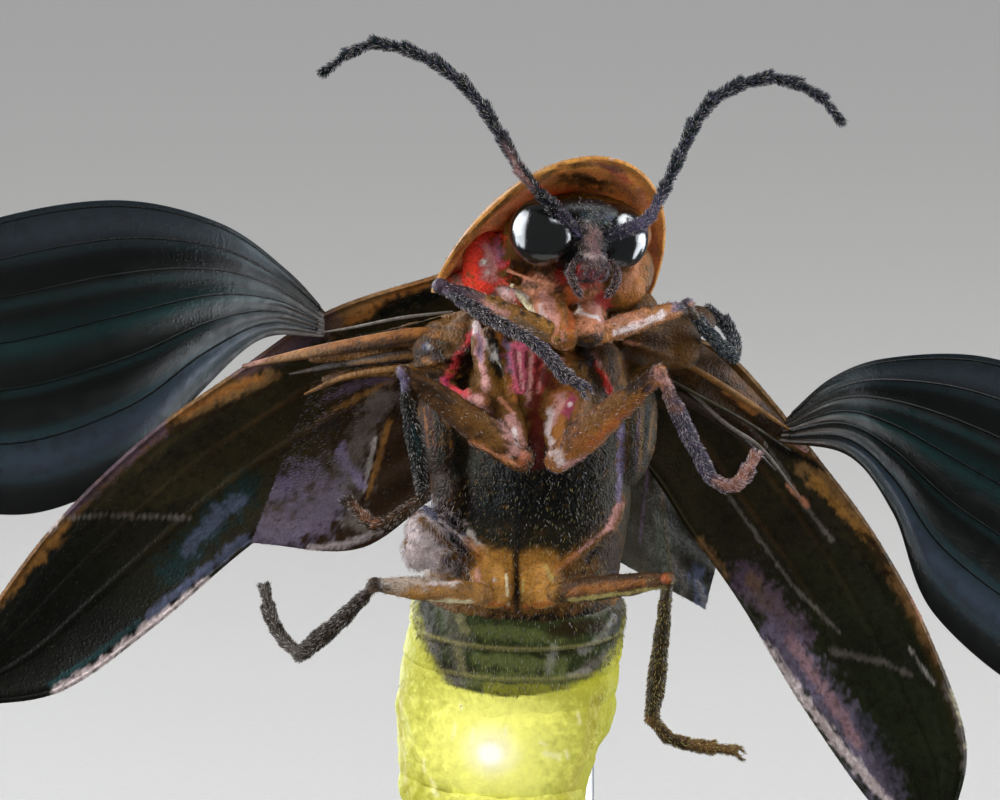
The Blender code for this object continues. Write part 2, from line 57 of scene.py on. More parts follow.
# %% [markdown]
# ## Where things are
# The insect is held in front of the camera as it flew. It is easiest to say a place as three
# lengths: across to the right, away in depth, and up, from the middle of the view. The camera looks
# down a little, so those three lengths are tipped by the same angle. A place that is further away
# is spread outwards, so that it still shows where it was seen. A place on the photograph is the
# same thing in pixels, with sixty-two of them to a millimetre at the middle depth.

# %% The view's own measures
LOOK_DOWN = math.radians(5)
VIEW_RANGE = 134.0
VIEW_CENTRE = Vector((-0.5, -2.5, 12.5))
TIP = Matrix.Rotation(-LOOK_DOWN, 3, "X")
PHOTO_MIDDLE = (500, 400)
PIXELS_PER_MM = 62.0
LENS_POINT = (VIEW_CENTRE - TIP @ Vector((0, VIEW_RANGE, 0))) * MM
print("lens:", VIEW_RANGE, "mm from the middle of the view")


def posed(across, depth, up):
    """A place in the pose, in metres."""
    return (VIEW_CENTRE + TIP @ Vector((across, depth, up))) * MM


def shown(across, depth, up):
    """A place that shows at (across, up) whatever its depth."""
    spread = 1 + depth / VIEW_RANGE
    return posed(across * spread, depth, up * spread)


def pixel(x, y, depth=0.0):
    """The place at a depth that shows at a pixel of the photograph."""
    return shown((x - PHOTO_MIDDLE[0]) / PIXELS_PER_MM, depth, (PHOTO_MIDDLE[1] - y) / PIXELS_PER_MM)


def smooth_curve(points, count):
    """Evenly numbered places on one smooth curve through the points."""
    knots = [Vector(p) for p in points]
    line = [knots[0] * 2 - knots[1]] + knots + [knots[-1] * 2 - knots[-2]]
    spans = len(knots) - 1
    curve = []
    for t in np.linspace(0.0, spans, count):
        i = min(int(t), spans - 1)
        f = t - i
        a, b, c, d = line[i:i + 4]
        curve.append((b * 2 + (c - a) * f + (a * 2 - b * 5 + c * 4 - d) * f ** 2
                      + (b * 3 - a - c * 3 + d) * f ** 3) * 0.5)
    return curve


# %% [markdown]
# ## Camera
# The photograph is a close view of sixteen millimetres across. The same framing from a distance of
# thirteen centimetres takes a long lens, and the pale floor then fills the whole background.

# %% The camera
VIEW_WIDTH = 16.13
SENSOR = 36.0
camera_data = bpy.data.cameras.new("camera")
camera_data.sensor_width = SENSOR
camera_data.lens = SENSOR * VIEW_RANGE / VIEW_WIDTH
camera_data.clip_start = MM
camera = bpy.data.objects.new("camera", camera_data)
bpy.context.scene.collection.objects.link(camera)
camera.location = LENS_POINT
camera.rotation_euler = (math.pi / 2 - LOOK_DOWN, 0, 0)
bpy.context.scene.camera = camera
print("camera lens:", round(camera_data.lens, 1), "mm")

# %% [markdown]
# ## Hand tools
# Operators act on all that is selected, and the loaded frame is selected when it arrives. So every
# step first lets go of everything. A finished piece keeps its place in its mesh and its own object
# stays at the origin. Dents come from a cloud texture, which pushes the surface in and out.


# %% Let go, take hold, and settle a piece
SAME_PLACE = 1e-7


def let_go():
    if bpy.context.object and bpy.context.object.mode != "OBJECT":
        bpy.ops.object.mode_set(mode="OBJECT")
    bpy.ops.object.select_all(action="DESELECT")


def take(*things):
    let_go()
    for thing in things:
        thing.select_set(True)
    bpy.context.view_layer.objects.active = things[0]


def settle(thing, name, sharp=40):
    take(thing)
    bpy.ops.object.transform_apply(location=True, rotation=True, scale=True)
    bpy.ops.object.shade_smooth_by_angle(angle=math.radians(sharp))
    thing.name = name
    thing.data.name = name
    return thing


def finish_with(thing, kind, **values):
    """Adds a modifier with its values and applies it."""
    take(thing)
    modifier = thing.modifiers.new(kind.lower(), kind)
    for key, value in values.items():
        setattr(modifier, key, value)
    bpy.ops.object.modifier_apply(modifier=modifier.name)


def joined(name, pieces):
    """One piece out of several."""
    take(*pieces)
    if len(pieces) > 1:
        bpy.ops.object.join()
    return settle(pieces[0], name)


def soften(thing, levels=2):
    finish_with(thing, "SUBSURF", levels=levels, render_levels=levels)


def dent(thing, size, height):
    """Pushes a surface in and out by lumps of one size; both are in millimetres."""
    texture = bpy.data.textures.new("lumps", "CLOUDS")
    texture.noise_scale = size * MM
    finish_with(thing, "DISPLACE", texture=texture, texture_coords="GLOBAL", strength=height * MM,
                mid_level=0.5)


def edit_all(thing):
    """Takes a thing into edit mode with all of it selected."""
    take(thing)
    bpy.ops.object.mode_set(mode="EDIT")
    bpy.ops.mesh.select_all(action="SELECT")


def leave_edit():
    bpy.ops.object.mode_set(mode="OBJECT")


def close_up(thing):
    """Merges the points that lie in one place, and turns every face outwards."""
    edit_all(thing)
    bpy.ops.mesh.remove_doubles(threshold=SAME_PLACE)
    bpy.ops.mesh.normals_make_consistent(inside=False)
    leave_edit()


# %% [markdown]
# ## Balls and limbs
# Nearly every part of an insect is either an egg or a tube that swells and narrows. An egg starts
# as a sphere at its place, turned and scaled. A tube starts as a path with a round bevel whose
# radius is given point by point, and is then made a mesh. It may be pressed flat in one direction.

# %% Egg shapes and tubes
ROUND_END = (80, 55, 25)


def ball(name, centre, size, turn=TIP, segments=32, rings=20):
    let_go()
    bpy.ops.mesh.primitive_uv_sphere_add(segments=segments, ring_count=rings, radius=MM, location=centre,
                                         rotation=turn.to_euler(), scale=size)
    return settle(bpy.context.object, name)


def stations(route, radii):
    """The route's places and radii with a round end added at both ends."""
    start = (route[0] - route[1]).normalized() * MM
    end = (route[-1] - route[-2]).normalized() * MM
    rows = []
    for tilt in ROUND_END:
        t = math.radians(tilt)
        rows.append((route[0] + start * radii[0] * math.sin(t), radii[0] * math.cos(t)))
    rows += list(zip(route, radii))
    for tilt in reversed(ROUND_END):
        t = math.radians(tilt)
        rows.append((route[-1] + end * radii[-1] * math.sin(t), radii[-1] * math.cos(t)))
    return rows


def limb(name, route, radii, flat=1.0, facing=(0, 1, 0), roundness=4, open_ends=False):
    """A tube through the route, with radii in millimetres, pressed flat along one direction."""
    count = len(route)
    radii = list(np.interp(np.linspace(0, 1, count), np.linspace(0, 1, len(radii)), radii))
    rows = list(zip(route, radii)) if open_ends else stations(route, radii)
    let_go()
    bpy.ops.curve.primitive_nurbs_path_add()
    line = bpy.context.object
    line.data.splines.clear()
    spline = line.data.splines.new("POLY")
    spline.points.add(len(rows) - 1)
    for point, (place, radius) in zip(spline.points, rows):
        point.co = (*place, 1)
        point.radius = radius
    line.data.bevel_depth = MM
    line.data.bevel_resolution = roundness
    line.data.use_fill_caps = True
    bpy.ops.object.convert(target="MESH")
    tube = bpy.context.object
    close_up(tube)
    if flat != 1.0:
        shares = np.atleast_1d(flat)
        flat = np.interp(np.linspace(0, 1, len(rows)), np.linspace(0, 1, len(shares)), shares)
        press_flat(tube, [place for place, radius in rows], flat, facing)
    return settle(tube, name)


def corners(piece):
    """The places of a mesh's points, as an array."""
    places = np.empty(len(piece.data.vertices) * 3)
    piece.data.vertices.foreach_get("co", places)
    return places.reshape(-1, 3)


def normals_of(piece):
    """The outward directions at a mesh's points, as an array."""
    normals = np.empty(len(piece.data.vertices) * 3)
    piece.data.vertices.foreach_get("normal", normals)
    return normals.reshape(-1, 3)


def move_corners(piece, places):
    piece.data.vertices.foreach_set("co", places.ravel())
    piece.data.update()


def press_flat(tube, line, flat, facing):
    """Brings each point nearer to the tube's own line along one direction."""
    places = corners(tube)
    line = np.array(line)
    nearest = np.argmin(((places[:, None, :] - line[None]) ** 2).sum(axis=2), axis=1)
    facing = np.array(TIP @ Vector(facing).normalized())
    offset = (places - line[nearest]) @ facing
    places -= np.outer(offset * (1 - flat[nearest]), facing)
    move_corners(tube, places)


# %% [markdown]
# ## Colour on the points
# The insect's colours change from plate to plate without an edge between them, so colour is laid on
# the mesh's own points: a ground colour, then soft strokes along short routes. The strokes are
# placed where the camera sees them, but they are laid on the surface itself, within a radius in
# space, so they stay put from every side. The materials read this layer and add the fine grain.
# A stroke is written on a line of its own: its radius in pixels, colour and strength, then its route.

# %% The colours, and how strokes are written
PAINT = "tint"
GLOW = "glow"
EDGE_SIZE = 0.14
FLECK_SIZE = 0.05
EDGE_TEAR = 0.45
FLECK_TEAR = 0.35
STROKE_CORE = 0.50
STROKE_REACH = 1.40
STROKE_SPACING = 9
MISSED_DEPTH = -1.0
FAR = 1e9


def srgb(red, green, blue):
    """A screen colour as the linear values that shaders use."""
    values = np.array((red, green, blue)) / 255
    return np.where(values <= 0.04045, values / 12.92, ((values + 0.055) / 1.055) ** 2.4)


COLOURS = {
    "amber": srgb(156, 100, 44), "gold": srgb(166, 118, 50), "ochre": srgb(110, 75, 30),
    "brown": srgb(82, 53, 23), "umber": srgb(40, 26, 12), "olive": srgb(32, 30, 15),
    "black": srgb(10, 10, 8), "moss": srgb(50, 60, 28), "orange": srgb(176, 90, 42),
    "peach": srgb(198, 134, 104), "rose": srgb(200, 66, 74), "red": srgb(178, 38, 30),
    "magenta": srgb(172, 58, 106), "blush": srgb(206, 154, 150), "pearl": srgb(226, 212, 214),
    "lilac": srgb(118, 108, 142), "slate": srgb(44, 46, 56), "teal": srgb(20, 50, 52),
    "straw": srgb(186, 176, 108), "silver": srgb(190, 186, 182), "lime": srgb(196, 198, 48),
    "lemon": srgb(244, 244, 120), "ash": srgb(104, 98, 92), "grey_blue": srgb(84, 92, 118),
    "cream": srgb(238, 232, 196), "claret": srgb(84, 24, 16), "glow": srgb(255, 255, 240),
    "night": srgb(8, 11, 8), "bronze": srgb(46, 40, 20), "plum": srgb(84, 68, 86),
    "sea": srgb(14, 36, 36), "honey": srgb(128, 96, 58), "sun": srgb(224, 166, 88),
    "scarlet": srgb(255, 76, 54), "apricot": srgb(250, 190, 130), "fern": srgb(92, 100, 54),
    "citron": srgb(150, 148, 44), "fuchsia": srgb(232, 104, 146),
}
print("colours:", len(COLOURS))


def strokes(lines):
    """Reads strokes: for each one its route, radius, colour and strength."""
    rows = []
    for line in lines.strip().splitlines():
        head, spots = line.split(":")
        radius, colour, strength = head.split()
        route = [tuple(float(value) for value in spot.split(",")) for spot in spots.split()]
        rows.append((route, float(radius), colour, float(strength)))
    return rows


# %% [markdown]
# ## Where a stroke lands
# A line of sight from the camera through a pixel of the photograph meets the surface somewhere. A
# stroke's route is a row of such places. Each point of the mesh takes the stroke's colour by how near
# it is to that route, and noise tears the stroke's edge, as pigment has no straight edges.

# %% Lay strokes on a surface
def sight(piece):
    """What a line of sight from the camera meets."""
    mesh = piece.data
    return BVHTree.FromPolygons([v.co for v in mesh.vertices], [p.vertices for p in mesh.polygons])


def touch(tree, x, y):
    """The place on a surface that shows at a pixel, or the pixel's own place where it shows none."""
    ahead = (pixel(x, y) - LENS_POINT).normalized()
    place = tree.ray_cast(LENS_POINT, ahead)[0]
    return pixel(x, y, MISSED_DEPTH) if place is None else place


def follow(tree, route):
    """The places on a surface along a route of pixels, close enough together to stay on it."""
    line = [route[0]]
    for (x0, y0), (x1, y1) in zip(route, route[1:]):
        count = max(1, round(math.hypot(x1 - x0, y1 - y0) / STROKE_SPACING))
        line += [(x0 + (x1 - x0) * k / count, y0 + (y1 - y0) * k / count) for k in range(1, count + 1)]
    return [touch(tree, x, y) for x, y in line]


def away_from(places, route):
    """How far each point is from a route of straight stretches."""
    best = np.full(len(places), FAR)
    ends = [np.array(p) for p in route]
    if len(ends) == 1:
        ends = ends * 2
    for a, b in zip(ends, ends[1:]):
        along = b - a
        length = max(along @ along, 1e-18)
        f = np.clip((places - a) @ along / length, 0, 1)
        best = np.minimum(best, np.linalg.norm(places - a - f[:, None] * along, axis=1))
    return best


def mottle(places, size):
    """A smooth random value, mostly within -1 and 1, whose lumps have a size in millimetres."""
    return np.array([noise.noise(Vector(place)) for place in places / (size * MM)]) * 2


def paint(piece, ground, marks=(), tree=None, ragged=1.0):
    """Lays strokes on a ground colour, or on what is painted already, with more or less ragged edges."""
    places = corners(piece)
    cover = 1.0
    if ground is None:
        tints, cover = get_tints(piece), get_tints(piece, 4)[:, 3]
    else:
        tints = np.tile(COLOURS[ground], (len(places), 1))
    if marks:
        tear = (mottle(places, EDGE_SIZE) * EDGE_TEAR + mottle(places, FLECK_SIZE) * FLECK_TEAR) * ragged
    for route, radius, colour, strength in marks:
        reach = radius / PIXELS_PER_MM * MM
        gap = away_from(places, follow(tree, route)) / reach + tear
        tints = blend(tints, colour, ease(gap, STROKE_REACH, STROKE_CORE) * strength)
    put_tints(piece, tints, cover=cover)
    return piece


def put_tints(piece, tints, layer_name=PAINT, cover=1.0):
    """Stores a colour for each point, with how much it covers as the fourth value."""
    layers = piece.data.color_attributes
    layer = layers.get(layer_name) or layers.new(layer_name, "FLOAT_COLOR", "POINT")
    values = np.empty((len(piece.data.vertices), 4))
    values[:, :3] = tints
    values[:, 3] = cover
    layer.data.foreach_set("color", values.ravel())


def get_tints(piece, width=3):
    values = np.empty(len(piece.data.vertices) * 4)
    piece.data.color_attributes[PAINT].data.foreach_get("color", values)
    return values.reshape(-1, 4)[:, :width]


def blend(ground, colour, weight):
    weight = np.clip(weight, 0, 1)[:, None]
    return ground * (1 - weight) + COLOURS[colour] * weight


def band(values, middle, width):
    """1 at the middle of a band, falling smoothly to 0 at its width."""
    return np.exp(-((values - middle) / width) ** 2)


def ease(values, start, end):
    """0 before the start and 1 past the end, with a smooth rise between."""
    rise = np.clip((values - start) / (end - start), 0, 1)
    return rise * rise * (3 - 2 * rise)


# %% [markdown]
# ## Shared effects
# Horn, the stuff of an insect's plates, is never one colour: it is cloudy, a little darker in
# places, and finely grained or pitted. One node group makes the clouds and the grain, and another
# makes pits or facets. Every material places them with its own numbers.

# %% Node groups for clouds, grain and pits
CLOUD_SHADE = (0.30, 0.24, 0.20, 1)
GRAIN_SHADE = (0.45, 0.40, 0.36, 1)
GRAIN_FINER = 9
CELL_WALL = 0.55


def node_in(tree, kind, inputs, **settings):
    """A new node; each of its inputs takes a value, or another node's output that is linked to it."""
    node = tree.nodes.new(kind)
    for label, value in settings.items():
        setattr(node, label, value)
    for label, value in inputs.items():
        if isinstance(value, bpy.types.NodeSocket):
            tree.links.new(value, node.inputs[label])
        else:
            node.inputs[label].default_value = value
    return node


def group_of(name, inputs, outputs):
    """A node group with its inner ends: what it is given, and the node that takes what it makes."""
    group = bpy.data.node_groups.new(name, "ShaderNodeTree")
    for label, kind, value in inputs:
        socket = group.interface.new_socket(label, in_out="INPUT", socket_type=kind)
        socket.default_value = value
    for label, kind in outputs:
        group.interface.new_socket(label, in_out="OUTPUT", socket_type=kind)
    return group, group.nodes.new("NodeGroupInput").outputs, group.nodes.new("NodeGroupOutput").inputs


def noise_of(group, scale, detail=2.0):
    where = node_in(group, "ShaderNodeTexCoord", {}).outputs["Object"]
    cloud = node_in(group, "ShaderNodeTexNoise", {"Vector": where, "Scale": scale, "Detail": detail})
    return cloud.outputs["Fac"]


def span(group, value, low, high):
    """Stretches one range of values to 0 and 1."""
    limits = {"Value": value, "From Min": low, "From Max": high, "To Min": 0, "To Max": 1}
    return node_in(group, "ShaderNodeMapRange", limits).outputs[0]


def times(group, first, second):
    return node_in(group, "ShaderNodeMath", {0: first, 1: second}, operation="MULTIPLY").outputs[0]


def shaded(group, colour, share, shade):
    """A colour multiplied by a share of a darker one."""
    values = {"Factor": share, "A": colour, "B": shade}
    return node_in(group, "ShaderNodeMix", values, data_type="RGBA", blend_type="MULTIPLY").outputs["Result"]


def cloud_group():
    group, given, made = group_of(
        "horn_clouds",
        (("Colour", "NodeSocketColor", (0.5, 0.3, 0.1, 1)), ("Amount", "NodeSocketFloat", 0.4),
         ("Scale", "NodeSocketFloat", 1500.0), ("Smooth", "NodeSocketFloat", 0.35),
         ("Rough", "NodeSocketFloat", 0.6)),
        (("Colour", "NodeSocketColor"), ("Roughness", "NodeSocketFloat"), ("Height", "NodeSocketFloat")))
    cloud = noise_of(group, given["Scale"], 5)
    grain = noise_of(group, times(group, given["Scale"], GRAIN_FINER), 3)
    clouded = shaded(group, given["Colour"], times(group, span(group, cloud, 0.36, 0.66), given["Amount"]),
                     CLOUD_SHADE)
    flecks = times(group, span(group, grain, 0.48, 0.64), given["Amount"])
    flecked = shaded(group, clouded, flecks, GRAIN_SHADE)
    shine = {"Factor": span(group, grain, 0.3, 0.7), "A": given["Smooth"], "B": given["Rough"]}
    group.links.new(flecked, made["Colour"])
    group.links.new(node_in(group, "ShaderNodeMix", shine).outputs["Result"], made["Roughness"])
    group.links.new(grain, made["Height"])
    return group


def pit_group():
    group, given, made = group_of(
        "horn_pits", (("Scale", "NodeSocketFloat", 12000.0), ("Grain", "NodeSocketFloat", 0.5)),
        (("Height", "NodeSocketFloat"),))
    where = node_in(group, "ShaderNodeTexCoord", {}).outputs["Object"]
    cells = node_in(group, "ShaderNodeTexVoronoi", {"Scale": given["Scale"], "Vector": where})
    dip = span(group, cells.outputs["Distance"], 0.0, CELL_WALL)
    sum_of = {0: noise_of(group, given["Scale"]), 1: given["Grain"], 2: dip}
    both = node_in(group, "ShaderNodeMath", sum_of, operation="MULTIPLY_ADD")
    group.links.new(both.outputs[0], made["Height"])
    return group


CLOUDS = cloud_group()
PITS = pit_group()
print("node groups:", CLOUDS.name, PITS.name)

# %% [markdown]
# ## Finishes
# Each finish takes the colour painted on the points, clouds it, and sets its own gloss. Living horn
# lets a little light in, so the fleshy finishes have some subsurface light. The bump distances are
# hundredths of a millimetre, as the real grain is.

# %% The horn finishes
FLESH_RADIUS = (1.0, 0.45, 0.25)
FLESH_SCALE = 0.15


def painted(tree, layer_name=PAINT, output="Color"):
    return node_in(tree, "ShaderNodeAttribute", {}, attribute_name=layer_name).outputs[output]


def clouded(tree, colour, amount, scale, smooth, rough):
    """The cloud group in a material, with its own numbers."""
    values = {"Colour": colour, "Amount": amount, "Scale": scale, "Smooth": smooth, "Rough": rough}
    return node_in(tree, "ShaderNodeGroup", values, node_tree=CLOUDS).outputs


def pitted(tree, scale, grain=0.5):
    pits = node_in(tree, "ShaderNodeGroup", {"Scale": scale, "Grain": grain}, node_tree=PITS)
    return pits.outputs["Height"]


def finish_of(name, make):
    """A material whose shader takes what the make function gives for each of its inputs."""
    finish = bpy.data.materials.new(name)
    finish.use_nodes = True
    tree = finish.node_tree
    shader = tree.nodes["Principled BSDF"]
    for label, value in make(tree).items():
        if isinstance(value, bpy.types.NodeSocket):
            tree.links.new(value, shader.inputs[label])
        else:
            shader.inputs[label].default_value = value
    return finish


def bumped(tree, height, distance):
    """A normal from a height, whose full distance is in millimetres."""
    values = {"Height": height, "Distance": distance * MM, "Strength": 1.0}
    return node_in(tree, "ShaderNodeBump", values).outputs["Normal"]


def horn(name, clouds, scale, smooth, rough, relief, gloss, flesh=0.0, pits=0):
    def make(tree):
        cloud = clouded(tree, painted(tree), clouds, scale, smooth, rough)
        height = pitted(tree, pits) if pits else cloud["Height"]
        return {"Base Color": cloud["Colour"], "Roughness": cloud["Roughness"],
                "Normal": bumped(tree, height, relief), "Specular IOR Level": gloss,
                "Subsurface Weight": flesh, "Subsurface Radius": FLESH_RADIUS,
                "Subsurface Scale": FLESH_SCALE * MM}
    return finish_of(name, make)


SKIN = horn("soft_horn", 0.5, 2600, 0.22, 0.5, 0.04, gloss=0.10, flesh=0.2)
HOOD = horn("hood_horn", 0.55, 2600, 0.28, 0.5, 0.02, gloss=0.10, flesh=0.3)
LIMB = horn("limb_horn", 0.6, 3000, 0.25, 0.5, 0.03, gloss=0.15, flesh=0.03)
HEAD = horn("head_horn", 0.4, 3500, 0.25, 0.45, 0.015, gloss=0.2)
CASE = horn("wing_case_horn", 0.6, 900, 0.35, 0.6, 0.006, gloss=0.09, pits=17000)
BELLY = horn("belly_horn", 0.5, 2500, 0.28, 0.5, 0.02, gloss=0.10)
VEIN = horn("vein_horn", 0.6, 2500, 0.35, 0.55, 0.02, gloss=0.12)
HAIR = horn("hair", 0.1, 6000, 0.4, 0.55, 0.002, gloss=0.06)
print("horn finishes:", [finish.name for finish in (SKIN, HOOD, LIMB, HEAD, CASE, BELLY, VEIN, HAIR)])

# %% [markdown]
# ## Eyes, lantern, membrane and stand
# The eyes are hard black lenses by the hundred, so they are very smooth with a fine honeycomb. The
# lantern gives its own light, from a second painted layer. A wing is a film a few thousandths of a
# millimetre thick, so where its painted cover is thin it lets light through. The stand's base is
# painted, its foot is felt and its rod is steel.

# %% The other finishes
FACETS_PER_METRE = 46000
FACET_DEPTH = 0.0009
EYE_DARK = (0.0005, 0.001, 0.0015, 1)
EYE_LIGHT = (0.003, 0.004, 0.0035, 1)
FILM_GRAIN = 16000


def eye_horn(tree):
    height = pitted(tree, FACETS_PER_METRE, 0.2)
    shades = {"Factor": height, "A": EYE_DARK, "B": EYE_LIGHT}
    tint = node_in(tree, "ShaderNodeMix", shades, data_type="RGBA")
    return {"Base Color": tint.outputs["Result"], "Normal": bumped(tree, height, FACET_DEPTH),
            "Roughness": 0.09, "Specular IOR Level": 0.85}


def lantern_horn(tree):
    cloud = clouded(tree, painted(tree), 0.10, 1500, 0.3, 0.55)
    return {"Base Color": cloud["Colour"], "Roughness": cloud["Roughness"],
            "Emission Color": painted(tree, GLOW), "Emission Strength": 0.9,
            "Normal": bumped(tree, cloud["Height"], 0.02), "Specular IOR Level": 0.08}


def membrane(name, smooth, relief, gloss):
    def make(tree):
        cloud = clouded(tree, painted(tree), 0.4, 500, smooth, smooth + 0.25)
        return {"Base Color": cloud["Colour"], "Roughness": cloud["Roughness"],
                "Normal": bumped(tree, pitted(tree, FILM_GRAIN), relief),
                "Alpha": painted(tree, PAINT, "Alpha"), "Specular IOR Level": gloss}
    return finish_of(name, make)


def plain_finish(name, colour, smooth, rough, scale, metallic=0.0, gloss=0.5, clouds=0.12):
    def make(tree):
        cloud = clouded(tree, colour, clouds, scale, smooth, rough)
        return {"Base Color": cloud["Colour"], "Roughness": cloud["Roughness"], "Metallic": metallic,
                "Normal": bumped(tree, cloud["Height"], 0.004), "Specular IOR Level": gloss}
    return finish_of(name, make)


EYE = finish_of("eye_lens", eye_horn)
LANTERN = finish_of("lantern_glow", lantern_horn)
WING = membrane("wing_membrane", 0.3, 0.004, 0.13)
LOBE = membrane("wing_lobe", 0.4, 0.006, 0.06)
PAINTED = plain_finish("stand_paint", (0.34, 0.34, 0.33, 1), 0.35, 0.5, 900)
STEEL = plain_finish("stand_steel", (0.20, 0.20, 0.205, 1), 0.32, 0.5, 2500, metallic=1.0)
FELT_CLOTH = plain_finish("stand_felt", (0.05, 0.05, 0.055, 1), 0.85, 1.0, 4000)
FLOOR = plain_finish("floor_paper", (0.38, 0.38, 0.377, 1), 0.8, 0.95, 4000, gloss=0.1, clouds=0.03)
others = (EYE, LANTERN, WING, LOBE, PAINTED, STEEL, FELT_CLOTH, FLOOR)
print("other finishes:", [finish.name for finish in others])


def dress(piece, finish, slot, *nodes):
    """Gives a piece its finish and its slot, makes it ride, and says which plain solids it replaces."""
    piece.data.materials.clear()
    piece.data.materials.append(finish)
    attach(piece, "root")
    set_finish(piece, slot)
    if nodes:
        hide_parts(*nodes)
    return piece


# %% [markdown]
# ## Floor and light
# A plain pale floor runs far enough back to fill the view, and the room is soft and even. Broad
# lights stand above, in front, at both sides and over the floor behind. A round glossy eye shows a
# light at its side as a crescent along its outer edge. Such lights would wash out the skin, so four
# of them are glints, which only show in gloss. The front and floor lights and the floor itself don't
# show in gloss, which keeps the eyes black.

# %% Floor, room and lamps
FLOOR_SIZE = 3.0
ROOM_COLOUR = (0.92, 0.95, 1.0, 1)
ROOM_LIGHT = 0.17
WARM = (1.0, 0.98, 0.95)
COOL = (0.92, 0.96, 1.0)
WHITE = (1.0, 1.0, 1.0)
ICY = (0.88, 0.93, 1.0)
let_go()
bpy.ops.mesh.primitive_plane_add(size=FLOOR_SIZE, location=(0, 0, 0))
floor = settle(bpy.context.object, "floor")
floor.data.materials.append(FLOOR)
floor.visible_glossy = False

room = bpy.data.worlds.new("room")
room.use_nodes = True
room.node_tree.nodes["Background"].inputs["Color"].default_value = ROOM_COLOUR
room.node_tree.nodes["Background"].inputs["Strength"].default_value = ROOM_LIGHT
bpy.context.scene.world = room

LAMPS = {
    "above": ((171, -65, 250), (190, 190), 0.70, WARM),
    "front": ((-170, -230, 215), (340, 340), 1.30, WARM),
    "left": ((-130, 6, 50), (80, 120), 0.14, COOL),
    "right": ((130, 6, 40), (70, 100), 0.12, COOL),
    "floor": ((0, 700, 900), (700, 700), 8.0, WHITE),
}
GLINTS = {
    "glint_left": ((-100, 8, 24), (115, 200), 0.50, ICY),
    "glint_back_left": ((-84, 96, 34), (110, 180), 0.30, ICY),
    "glint_right": ((96, 32, -12), (84, 120), 0.24, ICY),
    "glint_above": ((60, -28, 92), (110, 80), 0.17, ICY),
}
SOFT_ONLY = ("front", "floor")


def add_lamp(name, place, size, power, colour, glint=False):
    """An area lamp aimed at the insect; a glint lights nothing and only shows in glossy surfaces."""
    lamp = bpy.data.lights.new(name, "AREA")
    lamp.shape = "ELLIPSE" if glint else "RECTANGLE"
    lamp.size = size[0] * MM
    lamp.size_y = size[1] * MM
    lamp.energy = power
    lamp.color = colour
    holder = bpy.data.objects.new(name, lamp)
    bpy.context.scene.collection.objects.link(holder)
    holder.location = Vector(place) * MM
    aim = VIEW_CENTRE * MM - holder.location
    holder.rotation_euler = aim.to_track_quat("-Z", "Y").to_euler()
    holder.visible_diffuse = not glint
    holder.visible_glossy = glint or name not in SOFT_ONLY
    holder.visible_camera = False


for glint_name, (place, size, power, colour) in GLINTS.items():
    add_lamp(glint_name, place, size, power, colour, True)
for lamp_name, (place, size, power, colour) in LAMPS.items():
    add_lamp(lamp_name, place, size, power, colour)
bpy.context.scene.view_settings.view_transform = "Standard"
print("lamps:", len(LAMPS), "glints:", len(GLINTS))

# %% [markdown]
# ## The trunk's own lengths
# The trunk leans towards the camera and rolls a little, as the insect climbed. All its rings are
# stated along its own axis, with half widths and half depths in millimetres, the same as the frame's.

# %% Trunk measures
TRUNK_CENTRE = Vector((0.62, 0.30, -1.13))
TRUNK_LEAN = math.radians(22)
TRUNK_ROLL = math.radians(8)
TRUNK_TURN = math.radians(-5)
TRUNK_ALONG = (-8.00, -7.50, -6.80, -5.80, -4.80, -4.10, -2.40, -1.60, -0.40, 0.70, 1.60, 2.60)
TRUNK_WIDE = (0.30, 0.80, 1.20, 1.47, 1.62, 1.78, 1.72, 1.58, 1.62, 1.48, 1.34, 1.00)
TRUNK_DEEP = (0.25, 0.55, 0.80, 0.95, 1.05, 1.10, 1.10, 1.12, 1.18, 1.15, 1.08, 0.88)
COAT_DEPTH = 0.05
BACK_STARTS = 0.15
BACK_FULL = 0.50
TUBE_END = 0.25
print("trunk:", TRUNK_ALONG[-1] - TRUNK_ALONG[0], "mm long")


def trunk_turn():
    head = Vector((math.sin(TRUNK_ROLL) * math.cos(TRUNK_LEAN), -math.sin(TRUNK_LEAN),
                   math.cos(TRUNK_ROLL) * math.cos(TRUNK_LEAN)))
    right = Vector((math.cos(TRUNK_TURN), math.sin(TRUNK_TURN), -math.sin(TRUNK_ROLL)))
    right = (right - head * right.dot(head)).normalized()
    return Matrix((right, head.cross(right), head)).transposed()


TRUNK = trunk_turn()


def on_trunk(along, right=0.0, back=0.0):
    return posed(*(TRUNK_CENTRE + TRUNK @ Vector((right, back, along))))


def trunk_length(name, rows, roundness=14):
    """A length of the trunk from rows of (along, half width, half depth)."""
    route = [on_trunk(row[0]) for row in rows]
    back = TRUNK.col[1]
    return limb(name, route, [row[1] for row in rows], [row[2] / row[1] for row in rows], back, roundness,
                open_ends=True)


def trunk_row(along, swell=0.0):
    wide = float(np.interp(along, TRUNK_ALONG, TRUNK_WIDE))
    deep = float(np.interp(along, TRUNK_ALONG, TRUNK_DEEP))
    return along, wide + swell, deep + swell


def in_trunk(piece):
    """How far right, back and along the trunk each point lies, in millimetres."""
    rows = np.array(TIP @ TRUNK)
    return (corners(piece) - np.array(posed(*TRUNK_CENTRE))) @ rows / MM


def dorsal_share(spots):
    """1 on the back of the trunk and 0 on the side that the camera sees."""
    return ease(spots[:, 1], BACK_STARTS, BACK_FULL)


# %% [markdown]
# ## Chest, neck and hips in one skin
# Between the hood and the belly the plates of a beetle's chest are joined by soft skin, and the hips
# swell out of it. To show no seam, the eggs, tubes and ridges are laid into each other and then
# grown together by a voxel remesh, which makes one closed skin. The remesh works in millimetres,
# because it can't take a cell as small as this in metres. The ridges are laid on a rough chest that
# is only joined and not yet grown together, because their routes need a surface to follow.

